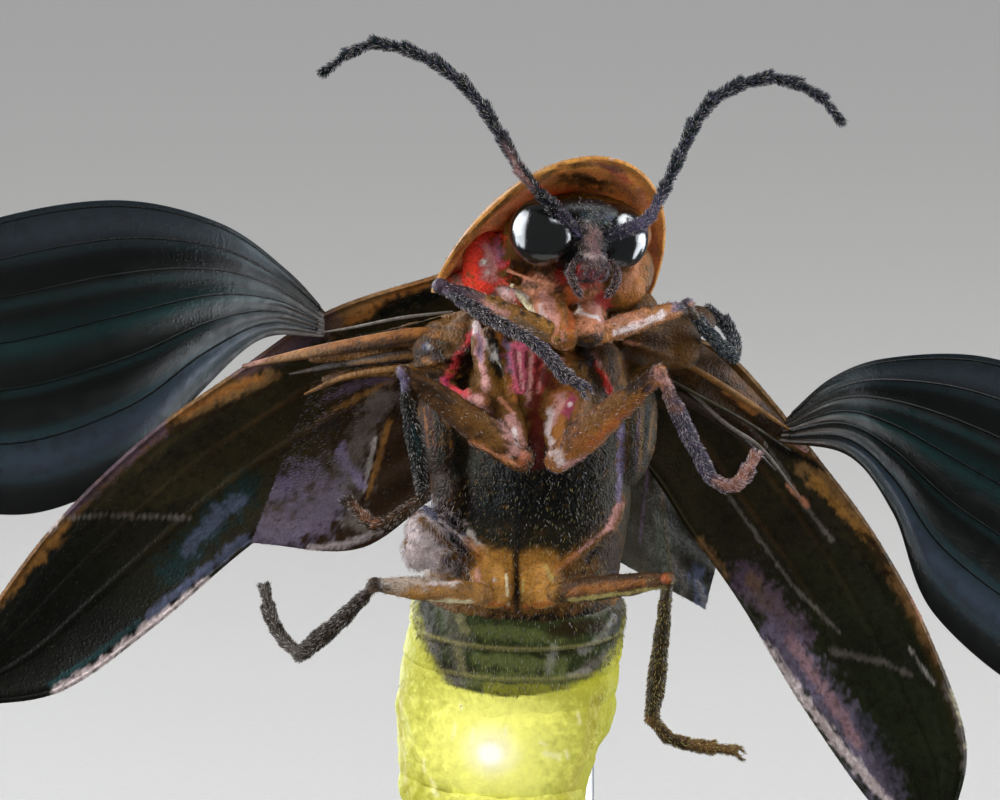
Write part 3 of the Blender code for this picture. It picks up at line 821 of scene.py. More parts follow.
# %% The eggs, tubes and ridges of the chest
SKIN_CELL = 0.0385
FOLDS = ((0.30, 0.05), (0.10, 0.022))
HIPS = {
    "fore_left": ((0.68, -1.35, 1.58), (1.02, -2.15, 1.05), (0.24, 0.32, 0.26)),
    "fore_right": ((1.46, -1.15, 1.55), (1.42, -2.02, 1.08), (0.24, 0.31, 0.26)),
    "mid_left": ((-0.12, -1.00, 0.10), (0.32, -1.38, -0.90), (0.30, 0.33, 0.17)),
    "mid_right": ((1.26, -1.05, 0.05), (0.92, -1.42, -0.92), (0.24, 0.27, 0.17)),
}
SWELLINGS = {
    "chest": ((573, 268), -1.05, (1.10, 0.55, 0.62)),
    "collar": ((577, 234), -1.50, (1.20, 0.45, 0.66)),
    "nape": ((560, 262), -0.98, (1.05, 0.42, 0.60)),
    "throat": ((562, 284), -1.72, (0.66, 0.38, 0.34)),
    "under_throat": ((530, 297), -1.05, (0.55, 0.40, 0.32)),
    "mantle_left": ((518, 262), -1.12, (0.74, 0.40, 0.54)),
    "mantle_right": ((628, 270), -1.05, (0.42, 0.45, 0.50)),
    "throat_right": ((612, 290), -1.42, (0.55, 0.36, 0.34)),
    "cheek_left": ((484, 262), -1.20, (0.36, 0.27, 0.52)),
    "flank_left": ((470, 286), -0.95, (0.46, 0.35, 0.26)),
    "cheek_right": ((631, 262), -1.22, (0.18, 0.34, 0.42)),
    "back_plate": ((545, 328), -0.25, (1.45, 0.48, 0.80)),
    "shoulder_left": ((458, 350), -0.12, (0.80, 0.60, 0.54)),
    "shoulder_left_fold": ((470, 338), -0.50, (0.40, 0.30, 0.40)),
    "shoulder_right": ((644, 346), -0.08, (0.76, 0.60, 0.52)),
    "shoulder_right_fold": ((680, 344), -0.22, (0.36, 0.34, 0.40)),
    "side_left": ((454, 425), 0.05, (0.62, 0.62, 1.00)),
    "side_left_low": ((458, 480), 0.20, (0.46, 0.60, 0.70)),
    "side_right": ((622, 420), 0.05, (0.58, 0.62, 1.10)),
    "web_left": ((474, 412), -1.25, (0.30, 0.25, 0.42)),
    "dark_plate": ((492, 356), -1.02, (0.30, 0.26, 0.50)),
    "magenta_plate": ((527, 366), -1.12, (0.40, 0.26, 0.52)),
    "mid_plate_right": ((596, 366), -0.90, (0.42, 0.32, 0.50)),
    "knob_left": ((482, 401), -1.55, (0.14, 0.14, 0.14)),
    "hip_plate_left": ((493, 582), -0.10, (0.37, 0.26, 0.44)),
    "hip_plate_right": ((541, 582), -0.10, (0.37, 0.26, 0.44)),
    "throat_right_low": ((636, 306), -0.60, (0.34, 0.34, 0.24)),
    "shoulder_right_top": ((691, 322), 0.05, (0.41, 0.32, 0.27)),
    "side_lump": ((428, 530), -0.05, (0.36, 0.32, 0.36)),
    "side_lump_low": ((418, 550), 0.02, (0.26, 0.28, 0.32)),
    "side_lump_in": ((441, 556), 0.0, (0.30, 0.30, 0.24)),
}
RIDGES = {
    "spine": (((571, 335), (569, 350), (567, 364)), 0.12, 0.05),
    "white_arm": (((477, 322), (477, 350), (480, 380), (486, 402)), 0.10, 0.08),
    "red_arm": (((474, 330), (460, 355), (445, 380), (456, 390), (472, 397)), 0.05, 0.06),
    "orange_strip": (((490, 322), (499, 350), (508, 380), (514, 402)), 0.07, 0.08),
    "red_line": (((597, 361), (604, 376), (611, 391)), 0.04, 0.04),
    "coxa_rim": (((548, 402), (546, 430), (553, 458)), 0.05, 0.06),
    "left_brace": (((425, 508), (450, 528), (472, 547), (492, 560)), 0.055, 0.05),
    "left_brace_twin": (((420, 520), (444, 540), (464, 560), (476, 580)), 0.045, 0.04),
    "right_brace": (((622, 500), (614, 526), (588, 548), (560, 565), (550, 582)), 0.07, 0.05),
    "neck_fold": (((508, 270), (530, 279), (552, 284)), 0.04, 0.03),
    "neck_fold_low": (((505, 283), (530, 292), (548, 300)), 0.05, 0.04),
    "throat_edge": (((512, 286), (524, 302), (538, 322)), 0.05, 0.04),
    "root_left_1": (((470, 312), (430, 322), (400, 330)), 0.07, 0.05),
    "root_left_2": (((470, 350), (435, 362), (400, 366)), 0.08, 0.05),
    "root_right_1": (((625, 345), (660, 352), (700, 372)), 0.07, 0.05),
    "root_right_2": (((640, 330), (670, 325), (698, 345)), 0.08, 0.06),
}
ROOTS = {
    "root_left": (((468, 340), 0.0), ((420, 344), 0.0), ((370, 348), 0.15), ((315, 356), 0.55),
                  (0.48, 0.38, 0.22, 0.13)),
    "root_left_low": (((462, 362), 0.0), ((415, 366), 0.0), ((370, 370), 0.25), ((325, 380), 0.65),
                      (0.30, 0.22, 0.12, 0.07)),
    "root_right": (((640, 340), 0.0), ((690, 362), 0.05), ((735, 392), 0.45), ((780, 430), 0.95),
                   (0.46, 0.38, 0.24, 0.14)),
    "root_right_low": (((650, 366), 0.0), ((690, 386), 0.1), ((730, 412), 0.50), ((765, 446), 1.00),
                       (0.28, 0.22, 0.12, 0.07)),
}
FAN_TOP = ((507, 346), (552, 362))
FAN_POINT = (530, 400)
FAN_LINES = 8
FAN_SPREAD = 12
CORE_ALONG = np.linspace(2.3, -2.40, 23)
CORE_END = -2.48

print("eggs:", len(SWELLINGS), "tubes:", len(HIPS) + len(ROOTS), "ridges:", len(RIDGES) + FAN_LINES)


# %% [markdown]
# ## Build and grow the chest
# The eggs and tubes come first. Copies of them, joined, give the surface that the ridges are laid on,
# and then all of them are grown together.

# %% One skin from all the parts
def chest_parts():
    core = [trunk_row(along, -COAT_DEPTH) for along in CORE_ALONG] + [trunk_row(CORE_END, -TUBE_END)]
    parts = [trunk_length("core", core)]
    for name, ((x, y), depth, size) in SWELLINGS.items():
        parts.append(ball(name, pixel(x, y, depth), size, segments=24, rings=16))
    for name, (*route, radii) in ROOTS.items():
        places = smooth_curve([pixel(x, y, depth) for (x, y), depth in route], 12)
        parts.append(limb(name, places, radii, 0.6))
    for name, (top, tip, radii) in HIPS.items():
        start, end = shown(*top), shown(*tip)
        parts.append(limb(name + "_hip", [start, start.lerp(end, 0.5), end], radii))
    return parts


def ridge_parts(tree):
    parts = []
    for name, (route, start, end) in RIDGES.items():
        places = smooth_curve([touch(tree, x, y) for x, y in route], 12)
        parts.append(limb(name, places, (start, end), roundness=2))
    for k in range(FAN_LINES):
        f = k / (FAN_LINES - 1)
        x, y = [a + (b - a) * f for a, b in zip(*FAN_TOP)]
        low_x, low_y = FAN_POINT[0] + (f - 0.5) * FAN_SPREAD, FAN_POINT[1]
        places = [touch(tree, x + (low_x - x) * g, y + (low_y - y) * g) for g in np.linspace(0, 1, 5)]
        parts.append(limb(f"fan_line_{k}", smooth_curve(places, 10), (0.03, 0.022), roundness=2))
    return parts


def twin_of(thing):
    twin = thing.copy()
    twin.data = thing.data.copy()
    bpy.context.scene.collection.objects.link(twin)
    return twin


def grow_together(name, parts, cell, smoothing, folds=()):
    """One closed skin over all the parts, with small swellings of given sizes and heights."""
    skin = joined(name, parts)
    skin.data.transform(Matrix.Scale(1 / MM, 4))
    skin.data.remesh_voxel_size = cell
    take(skin)
    bpy.ops.object.voxel_remesh()
    skin.data.transform(Matrix.Scale(MM, 4))
    finish_with(skin, "SMOOTH", factor=0.5, iterations=smoothing)
    for size, height in folds:
        dent(skin, size, height)
    bpy.ops.object.shade_smooth()
    print(name, "points:", len(skin.data.vertices))
    return skin


parts = chest_parts()
rough_chest = joined("rough_chest", [twin_of(part) for part in parts])
chest_tree = sight(rough_chest)
bpy.data.objects.remove(rough_chest, do_unlink=True)
chest = grow_together("chest_skin", parts + ridge_parts(chest_tree), SKIN_CELL, 5, FOLDS)

# %% [markdown]
# ## The chest's colours
# Amber and ochre horn at the hips, rose skin where the wall is thin and blood shows, pearly edges
# where the plates fold, which are partly pale horn and partly painted highlight, and a nearly black
# breastplate behind the middle legs. The strokes are listed from the ground colours of large plates to
# the small bright places on them, several of which are painted glints and sheen.

# %% The chest's strokes
# The black stroke at 422,388 is painted shade in the hollow between the middle left thigh and the wing root.
# The blush and pearl strokes at 512-520 across, 420-450 down are a painted highlight on the end of the
# middle left hip.
# The grey_blue and silver spot at 428,347 is a painted sheen on the left wing root.
# The pearl and glow spots at 485,262 and 487,272 are painted glints on the red swelling.
# The pearl and silver strokes on the left brace, from 440,520 to 487,556, are a painted highlight.
# The pearl line ending in the glow spot at 577,312 is a painted highlight.
CHEST_STROKES = strokes("""
30 brown 0.9: 470,340 400,345 310,356
5 amber 0.8: 460,326 380,334 312,348
3 umber 0.9: 440,340 370,344 310,356
5 ochre 0.8: 450,352 380,354 312,362
3 umber 0.9: 440,362 380,362 320,372
4 ochre 0.7: 430,372 370,373 322,384
30 brown 0.9: 650,345 700,366 780,430
6 amber 0.8: 690,345 740,380 785,420
3 umber 0.9: 660,350 720,384 780,434
5 ochre 0.8: 665,362 720,396 770,438
3 umber 0.9: 660,376 710,402 760,446
26 brown 0.9: 400,330 450,345
7 ochre 0.9: 400,312 455,318
9 ochre 0.8: 440,325 462,345 466,362
3 amber 0.6: 404,338 440,336
3 umber 0.8: 402,354 444,352
2 umber 0.7: 412,326 452,328
26 brown 0.85: 660,345 640,352
42 night 0.95: 450,470 600,470
42 night 0.95: 455,520 590,520
30 night 0.9: 458,495 605,495
20 olive 0.9: 480,545 560,545
16 olive 0.9: 460,440 480,470
16 night 0.95: 440,618 520,630 600,618
24 umber 0.95: 430,400 420,440 440,490
15 bronze 0.9: 447,385 455,430
9 umber 0.8: 462,388 470,440
3 claret 0.8: 428,405 436,450
2 amber 0.5: 446,402 452,450
2.5 bronze 0.9: 414,410 420,460
34 bronze 0.95: 650,400 640,450 628,520
34 umber 0.6: 428,400 420,440 436,490
12 olive 0.9: 618,395 612,440
3 honey 0.55: 655,402 648,450
2.5 plum 0.8: 640,412 634,470
2 moss 0.8: 626,420 622,480
22 umber 0.9: 602,540 630,590
6 grey_blue 0.4: 590,585 625,575
2.5 black 0.9: 518,455 518,560
12 ochre 0.7: 560,195 500,240 505,262
16 claret 0.75: 512,272 575,284
8 red 0.6: 560,274 600,284
4 umber 0.8: 520,284 560,291
5 umber 0.8: 512,264 545,272
2.2 peach 0.9: 508,270 530,279 552,284
12 blush 0.55: 446,268 470,288 505,300
7 plum 0.5: 445,262 462,272
21 scarlet 1.0: 480,240 478,285
11 rose 0.7: 487,246 489,274
8 blush 0.8: 490,252 490,274
5 magenta 0.5: 494,246 500,262
4 lilac 0.5: 496,240 502,255
5 pearl 1.0: 485,262
2.5 glow 1.0: 485,262
2 pearl 0.8: 487,272
5 pearl 0.6: 500,290 525,296
19 amber 1.0: 642,245 632,290
8 peach 0.5: 634,268 622,286
17 peach 0.9: 540,296 556,330
8 blush 0.6: 546,300 552,322
3 pearl 0.6: 540,306 548,328
16 peach 0.9: 590,303 592,325
7 blush 0.7: 596,306 600,318
5 orange 0.9: 571,292 571,340
2 amber 0.9: 556,296 563,318 560,334
3 pearl 1.0: 578,305 580,313 598,318
3 glow 0.9: 577,312
6 rose 0.8: 600,296 607,305
3 cream 0.9: 512,286 524,302 538,322
3 red 0.5: 512,292 520,306
3 pearl 0.6: 532,318 548,338 568,340
5 orange 0.6: 546,334 562,338
7 amber 0.9: 571,338 568,364
3 blush 0.6: 566,350 560,366
15 umber 0.95: 590,345 608,400
4 slate 0.7: 584,345 592,362
3.2 red 1.0: 597,361 604,376 611,391
2.2 blush 0.7: 594,352 600,366
5 ash 0.35: 615,350 645,362
2 peach 0.8: 624,342 640,344
14 umber 0.6: 470,350 440,385
17 black 1.0: 422,388
6 grey_blue 0.9: 428,347
2.5 silver 0.8: 430,346
4.5 rose 1.0: 474,330 460,355 445,380 456,390 472,397
3 red 0.9: 462,352 455,372
3 magenta 0.8: 444,378 447,384
7 black 0.9: 466,350 463,384
8 night 0.95: 492,335 498,370
2.2 silver 0.7: 484,340 494,360
1.8 silver 0.6: 492,346 500,366
4.5 blush 1.0: 477,322 480,350 484,380 486,402
3 lilac 0.7: 478,330 481,360
4 pearl 1.0: 476,322 477,330
8 rose 0.7: 478,395 486,410
3 red 0.8: 486,402 492,410
4.5 amber 0.9: 500,330 510,365 514,398
4 lilac 0.8: 506,340 512,372
11 fuchsia 0.75: 520,352 524,385
9 rose 0.85: 538,358 536,388
2 claret 0.8: 514,350 521,390
2 claret 0.9: 526,352 527,392
2 blush 0.8: 531,352 530,392
2.2 claret 0.9: 539,356 534,392
2 blush 0.7: 546,360 538,392
1.8 blush 0.8: 519,352 523,388
4 blush 0.9: 528,396 530,404
9 claret 0.95: 536,402 537,460
9 claret 0.9: 545,372 560,400
20 ochre 0.9: 488,400 512,450
8 blush 0.75: 474,398 484,420
5 umber 0.6: 494,400 498,420
2 peach 0.9: 500,398 512,412
7 blush 0.8: 512,420 520,450
2.5 pearl 0.9: 514,428 518,444
5 orange 0.9: 524,455 520,463
16 amber 0.9: 566,402 556,455
6 blush 0.8: 562,400 552,425
4 pearl 0.8: 550,412 549,435 556,455
3 umber 0.6: 572,400 566,440
5 magenta 0.7: 572,398 566,412
2.5 pearl 0.8: 570,404
18 ochre 0.9: 672,335 700,360
3 honey 0.7: 678,318 704,356
9 umber 0.7: 650,338 665,342
2 honey 0.6: 640,345 690,368
27 pearl 0.85: 426,540 420,560
8 pearl 0.7: 410,530 430,555
6 umber 0.8: 446,560 458,572
4.5 grey_blue 0.9: 425,508 450,528 472,547 492,560
4 ash 0.9: 470,530 486,552
2.5 pearl 1.0: 440,520 484,556
4 silver 0.9: 470,534 487,555
4 ochre 0.9: 420,520 444,540 464,560 476,580
7 ochre 0.95: 622,500 614,526 588,548 560,565 550,582
5 blush 0.7: 620,504 610,524
2 blush 0.8: 618,502 608,528 586,546 566,562
2 umber 0.8: 612,532 590,552
4 lilac 0.85: 621,430 619,500
2 brown 0.6: 628,420 626,470
3 olive 0.8: 634,410 632,500
2 honey 0.5: 642,404 640,480
3 night 0.8: 648,410 644,500
2 amber 0.5: 424,410 428,446
3 olive 0.8: 434,402 440,460
3 honey 0.5: 416,405 424,470
6 night 0.7: 452,405 458,470
3 bronze 0.8: 418,336 450,346
3 umber 0.9: 415,350 452,362
2 amber 0.6: 424,360 452,372
12 brown 0.9: 604,345 618,372
3 umber 0.8: 608,340 612,380
""")
HIP_STROKES = strokes("""
17 gold 0.95: 484,562 490,600
14 gold 0.95: 504,562 504,602
14 gold 0.95: 530,562 530,602
17 gold 0.95: 545,564 554,600
7 amber 0.8: 468,543 480,560
7 amber 0.8: 560,568 574,557
6 sun 0.5: 498,570 500,600
7 sun 0.5: 540,570 544,600
3 orange 0.6: 480,600 508,606
3 orange 0.6: 526,606 556,602
3 blush 0.6: 477,570 480,598
3.5 umber 0.95: 516,553 517,612
1.6 cream 0.8: 506,575 508,604
1.6 straw 0.6: 523,580 523,600
2 straw 0.6: 545,566 552,580
2 pearl 0.8: 494,580
""")
print("chest strokes:", len(CHEST_STROKES) + len(HIP_STROKES))

# %% [markdown]
# ## The hips' horn and the back's plates
# The hips' strokes have cleaner edges than the rest. The back, which strokes from the front can't
# reach well, gets its dark plates and pale seams by where it lies on the trunk.

# %% Lay the colours on the chest
SEAMS_ALONG = (-1.95, -0.80, 0.30)
SEAM_WIDTH = 0.05
CLEAN = 0.35
PAIRS = ("fore", "mid", "hind")
SIDES = ("left", "right")


def back_plates(piece):
    """Dark plates on the back of the chest, with paler seams between them and along the middle."""
    spots = in_trunk(piece)
    back = dorsal_share(spots)
    seams = sum(band(spots[:, 2], along, SEAM_WIDTH) for along in SEAMS_ALONG)
    seams += band(spots[:, 0], 0.0, SEAM_WIDTH)
    tints = blend(get_tints(piece), "umber", back * 0.75)
    put_tints(piece, blend(tints, "ochre", seams * back * 0.7))


paint(chest, "ochre", CHEST_STROKES, sight(chest))
paint(chest, None, HIP_STROKES, sight(chest), CLEAN)
back_plates(chest)
hips = [f"{pair}_{side}_coxa" for pair in PAIRS for side in SIDES]
dress(chest, SKIN, "amber_horn", "prothorax", "mesothorax", "metathorax", *hips)
print("seams on the back:", len(SEAMS_ALONG))

# %% [markdown]
# ## The hood
# A firefly's head sits under a thin arched shield. Its rim is a rolled flange, and the underside that
# the camera looks into is mottled, with a fold that runs inside the rim. It could be cut from a
# sphere, but the outline is a half oval with a straight hind edge, so a fine grid is laid out as
# half rings round the middle of the hind edge and given its arch, and a wall is added at the end.
# All the rings start from one point, so the grid's points there are merged.

# %% Lay out the hood
HOOD_HIND = Vector((0.66, -0.60, 1.68))
HOOD_APEX = Vector((1.56, -2.44, 3.62))
HOOD_SIDE = Vector((1.42, 0.63, -0.14))
HOOD_CROWN = 0.78
HOOD_WALL = 0.05
HOOD_EDGE = 0.02
HOOD_ROUNDNESS = 0.75
HOOD_FOLD = 0.05
HOOD_FLANGE = 0.04
HOOD_SKIRT = 0.12
HOOD_SKIRT_REACH = 0.15
HOOD_OUTSET = 0.29
HOOD_RINGS = 60
HOOD_SPOKES = 96


def hood_turn():
    forward = (HOOD_APEX - HOOD_HIND).normalized()
    right = (HOOD_SIDE - forward * HOOD_SIDE.dot(forward)).normalized()
    return Matrix((right, forward.cross(right), forward)).transposed()


def hood_place(out, turn):
    """A place on the hood: 0 to 1 outwards, and the angle round from its right corner."""
    side = out * math.cos(turn)
    forward = out * math.sin(turn)
    arch = HOOD_CROWN * max(0.0, 1 - out ** 2) ** HOOD_ROUNDNESS
    fold = HOOD_FOLD * band(out, 0.86, 0.035) - HOOD_FLANGE * band(out, 0.93, 0.03)
    skirt = HOOD_SKIRT * max(0.0, 1 - forward / HOOD_SKIRT_REACH)
    length = (HOOD_APEX - HOOD_HIND).length + HOOD_OUTSET
    half_width = HOOD_SIDE.length + HOOD_OUTSET
    place = Vector((side * half_width, arch - fold, forward * length - skirt))
    return posed(*(HOOD_HIND + hood_turn() @ place))


def make_hood():
    let_go()
    bpy.ops.mesh.primitive_grid_add(x_subdivisions=HOOD_RINGS, y_subdivisions=HOOD_SPOKES, size=1)
    hood = bpy.context.object
    grid = corners(hood)
    outs = np.clip(grid[:, 0] + 0.5, 0.001, 1)
    turns = (grid[:, 1] + 0.5) * math.pi
    move_corners(hood, np.array([hood_place(out, turn) for out, turn in zip(outs, turns)]))
    close_up(hood)
    finish_with(hood, "SOLIDIFY", thickness=HOOD_WALL * MM, offset=0.0)
    finish_with(hood, "BEVEL", width=HOOD_EDGE * MM, segments=2, limit_method="ANGLE")
    return settle(hood, "hood")


hood = make_hood()
print("hood points:", len(hood.data.vertices))

# %% [markdown]
# ## The hood's colours
# Inside, an amber ground is mottled brown and black under the crown, and paler along the rim: the
# broad apricot strokes on the left inner wall are painted light that brightens the wall where the
# hood's curve shades it. Outside, the hood carries the sign of this firefly: two rosy patches with a
# black spot between them. They are laid by the hood's own lengths on the faces that look up.

# %% Paint the hood
HOOD_STROKES = strokes("""
6 brown 0.9: 430,268 500,190 545,160
7 umber 0.6: 440,262 520,185
3 orange 0.7: 450,262 505,205
14 apricot 1.0: 462,260 502,212 540,182
8 apricot 0.35: 545,178 600,176
6 straw 0.35: 545,172 560,190 600,196
10 brown 0.8: 565,178 604,186
5 black 0.7: 575,174 598,182
3 umber 0.7: 560,166 590,164
4 umber 0.5: 540,182 552,172
9 peach 0.5: 612,170 640,205
2.5 rose 0.5: 600,163 632,184
2.5 pearl 0.9: 575,154 590,152 612,158
3 plum 0.6: 590,162 620,170
5 peach 0.6: 640,190 655,235 650,270
4 blush 0.6: 436,268 450,250
""")
HOOD_SPOTS = (((-0.95, 0.75), 0.62, "rose"), ((0.95, 0.75), 0.62, "rose"), ((0.0, 0.95), 0.48, "black"))
SPOT_LENGTHENED = 0.75


def hood_markings(piece):
    """From above: yellow margins, a rosy patch to each side, and a black spot between them."""
    rows = np.array((TIP @ hood_turn()).transposed())
    places = (corners(piece) - np.array(posed(*HOOD_HIND))) @ rows.T / MM
    tints = get_tints(piece)
    above = np.clip((normals_of(piece) @ rows[1]) * 3, 0, 1)
    dorsal = np.tile(COLOURS["gold"], (len(places), 1))
    for (side, ahead), radius, colour in HOOD_SPOTS:
        gap = np.hypot(places[:, 0] - side, (places[:, 2] - ahead) * SPOT_LENGTHENED) / radius
        dorsal = blend(dorsal, colour, (1.25 - gap) / 0.5)
    put_tints(piece, tints * (1 - above[:, None]) + dorsal * above[:, None])


paint(hood, "sun", HOOD_STROKES, sight(hood))
hood_markings(hood)
dress(hood, HOOD, "hood_horn", "pronotum")
print("hood strokes:", len(HOOD_STROKES), "spots:", len(HOOD_SPOTS))

# %% [markdown]
# ## The head
# The head is a small dark capsule between two eyes that are nearly half spheres. The face between
# them is a hairy ridge that carries the feelers above and the mouth below. All its parts are placed
# in the head's own right, back and crown directions, because the head is turned to one side.

# %% Head capsule and face
HEAD_CENTRE = Vector((1.235, -2.10, 2.57))
HEAD_TURN = math.radians(28)
HEAD_TIP = math.radians(-6)
HEAD_ROLL = math.radians(4)
HEAD_FRAME = (Matrix.Rotation(HEAD_TURN, 3, "Z") @ Matrix.Rotation(HEAD_TIP, 3, "X")
              @ Matrix.Rotation(HEAD_ROLL, 3, "Y"))
HEAD_CELL = 0.028
FACE_PARTS = {
    "capsule": ((0, 0.02, 0.06), (0.84, 0.56, 0.56)),
    "brow": ((0, -0.20, 0.34), (0.70, 0.36, 0.27)),
    "frons": ((0, -0.40, 0.00), (0.25, 0.24, 0.44)),
    "clypeus": ((0, -0.47, -0.38), (0.25, 0.18, 0.16)),
    "labrum": ((0, -0.50, -0.56), (0.20, 0.15, 0.12)),
    "jaw_left": ((-0.19, -0.44, -0.58), (0.12, 0.15, 0.14)),
    "jaw_right": ((0.19, -0.44, -0.58), (0.12, 0.15, 0.14)),
    "chin": ((0, -0.20, -0.58), (0.34, 0.26, 0.16)),
    "socket_left": ((-0.17, -0.56, 0.14), (0.12, 0.10, 0.11)),
    "socket_right": ((0.17, -0.56, 0.14), (0.12, 0.10, 0.11)),
}


def on_head(right, back, crown):
    return posed(*(HEAD_CENTRE + HEAD_FRAME @ Vector((right, back, crown))))


def make_head():
    parts = []
    for name, (place, size) in FACE_PARTS.items():
        parts.append(ball(name, on_head(*place), size, TIP @ HEAD_FRAME, 24, 16))
    return grow_together("head_skin", parts, HEAD_CELL, 3)


HEAD_STROKES = strokes("""
13 ash 0.9: 592,230 594,262
7 teal 0.75: 586,217 614,222
2.5 grey_blue 0.8: 600,216 612,220
8 blush 0.55: 592,235 594,258
4 umber 0.8: 580,236 579,262
9 claret 0.7: 588,268 610,272
5 rose 0.7: 590,276 608,278
6 red 0.5: 575,272 578,285
3 pearl 0.4: 586,256 606,258
""")
head = make_head()
paint(head, "black", HEAD_STROKES, sight(head))
dress(head, HEAD, "dark_horn", "head", "mouthparts")

# %% [markdown]
# ## The eyes
# Each eye is nearly a half ball, sunk into the side of the head. A ball with many faces keeps its
# outline round in the close view and gives the reflections clean edges; the facets are in the finish.

# %% Two eyes
EYE_RADIUS = 0.555
EYE_SPREAD = 0.625
EYE_PLACE = (-0.04, 0.05)
for side, name in ((-1, "left"), (1, "right")):
    centre = on_head(side * EYE_SPREAD, *EYE_PLACE)
    eye = ball("eye_lens_" + name, centre, (EYE_RADIUS,) * 3, TIP @ HEAD_FRAME, 72, 48)
    dress(eye, EYE, "eye", "eye_" + name)
print("eye radius:", EYE_RADIUS, "mm")

# %% [markdown]
# ## Palps
# Two tiny feelers hang from the mouth. Each is three short joints, the last one pointed. A joint is a
# tube of its own that swells in the middle, so that the narrow places between them can be seen.

# %% The palps
PALPS = {
    "left": (((574, 262), -2.72), ((570, 274), -2.80), ((575, 286), -2.86), ((582, 298), -2.82)),
    "right": (((612, 262), -2.62), ((618, 274), -2.72), ((615, 286), -2.80), ((606, 298), -2.82)),
}
PALP_RADII = (0.055, 0.07, 0.065, 0.022)


def make_palp(side):
    places = [pixel(x, y, depth) for (x, y), depth in PALPS[side]]
    joints = []
    for k in range(3):
        start, end = places[k], places[k + 1]
        radii = (PALP_RADII[k] * 0.75, PALP_RADII[k], PALP_RADII[k + 1] * 0.8)
        joints.append(limb(f"joint_{k}", [start, start.lerp(end, 0.5), start.lerp(end, 0.92)], radii))
    return joined("palp_of_" + side, joints)


palps = {}
for side in PALPS:
    palps[side] = make_palp(side)
    paint(palps[side], "umber")
    dress(palps[side], LIMB, "dark_horn", "palp_" + side)
    print(palps[side].name, "points:", len(palps[side].data.vertices))

# %% [markdown]
# ## Feelers
# A feeler is eleven joints in a row, the first one long and thick, the second the shortest, and the
# rest alike and a little toothed on one side. One joint is modelled once, as a cone with a softened
# edge and its tooth pulled out, and a copy is stretched between each two places along the route.

# %% Model one joint and string it along a route
FEELERS = {
    "left": ((1.315, -2.66, 2.62), (0.60, -3.02, 3.37), (0.19, -2.95, 3.90), (-0.18, -2.85, 4.60),
             (-0.95, -2.70, 5.39), (-2.08, -2.40, 5.76), (-2.85, -2.15, 5.27)),
    "right": ((1.64, -2.50, 2.62), (2.28, -2.70, 2.80), (2.62, -2.56, 3.32), (3.02, -2.47, 4.20),
              (3.40, -2.40, 4.83), (4.30, -2.15, 5.20), (5.10, -1.95, 4.95), (5.50, -1.85, 4.48)),
}
JOINT_SHARES = (1.35, 0.45, 1.0, 1.05, 1.05, 1.0, 1.0, 0.95, 0.95, 0.9, 0.9)
JOINT_RADII = (0.095, 0.075, 0.08, 0.085, 0.09, 0.09, 0.09, 0.085, 0.08, 0.07, 0.055)
JOINT_SIDES = 14
JOINT_EDGE = 0.10
JOINT_OVERLAP = 0.04
UP = Vector((0, 0, 1))


def joint_pattern(name, waist, tooth):
    """A joint one unit long and one unit in radius, standing on the origin."""
    let_go()
    bpy.ops.mesh.primitive_cone_add(vertices=JOINT_SIDES, radius1=waist, radius2=1.0, depth=1.0,
                                    location=(0, 0, 0.5))
    pattern = bpy.context.object
    bpy.ops.object.transform_apply(location=True, rotation=False, scale=False)
    edit_all(pattern)
    bpy.ops.mesh.bevel(offset=JOINT_EDGE, segments=2, affect="EDGES")
    bpy.ops.mesh.select_all(action="DESELECT")
    leave_edit()
    for vert in pattern.data.vertices:
        vert.select = vert.co.z > 0.8 and vert.co.x > 0.3
    bpy.ops.object.mode_set(mode="EDIT")
    bpy.ops.transform.translate(value=(tooth, 0, 0.05))
    leave_edit()
    pattern.name = name
    return pattern


def copy_between(pattern, start, end, radius):
    """A copy of the pattern from one place to another, its tooth turned up."""
    twin = twin_of(pattern)
    ahead = (end - start).normalized()
    side = (UP - ahead * UP.dot(ahead)).normalized()
    turn = Matrix((side, ahead.cross(side), ahead)).transposed()
    size = Matrix.Diagonal((radius * MM, radius * MM, (end - start).length))
    twin.matrix_world = Matrix.Translation(start) @ (turn @ size).to_4x4()
    return twin


def along_route(points, shares):
    """Places along a smooth route, spaced by shares of its length."""
    fine = smooth_curve(points, 160)
    steps = np.array([(b - a).length for a, b in zip(fine, fine[1:])])
    reach = np.concatenate(([0], np.cumsum(steps)))
    marks = np.concatenate(([0], np.cumsum(shares))) / sum(shares) * reach[-1]
    line = np.array(fine)
    return [Vector([np.interp(mark, reach, line[:, axis]) for axis in range(3)]) for mark in marks]


feeler_joint = joint_pattern("feeler_joint", 0.62, 0.25)


def make_feeler(side):
    places = along_route([shown(*p) for p in FEELERS[side]], JOINT_SHARES)
    pieces = []
    for start, end, radius in zip(places, places[1:], JOINT_RADII):
        pieces.append(copy_between(feeler_joint, start, end + (end - start) * JOINT_OVERLAP, radius))
    return joined("feeler_" + side, pieces)


FEELER_STROKES = {
    "left": strokes("""
12 claret 0.5: 562,218
8 lilac 0.9: 574,229
7 blush 0.8: 520,174
"""),
    "right": strokes("""
10 lilac 0.6: 640,226 655,212
7 blush 0.6: 688,158
"""),
}
feelers = {}
for side in FEELERS:
    feelers[side] = make_feeler(side)
    paint(feelers[side], "night", FEELER_STROKES[side], sight(feelers[side]))
    dress(feelers[side], LIMB, "dark_horn", *[f"antenna_{side}_{k}" for k in (1, 2, 3)])
    print(feelers[side].name, "joints:", len(JOINT_RADII))

bpy.data.objects.remove(feeler_joint, do_unlink=True)

# %% [markdown]
# ## Legs
# Each leg is a hip, a small ring, a flattened thigh, a shin that widens a little to its end, and a
# foot of five short joints with two claws. The hips are already part of the chest's skin. Thigh and
# shin are tubes along their own lines. The foot's joints repeat, so one is modelled and copied along
# the foot's route. Every joint has a rounded end sunk into the next, so that it reads as a joint and
# leaves no gap. A leg's places run from its first joint to the knee, the ankle and on along the foot.

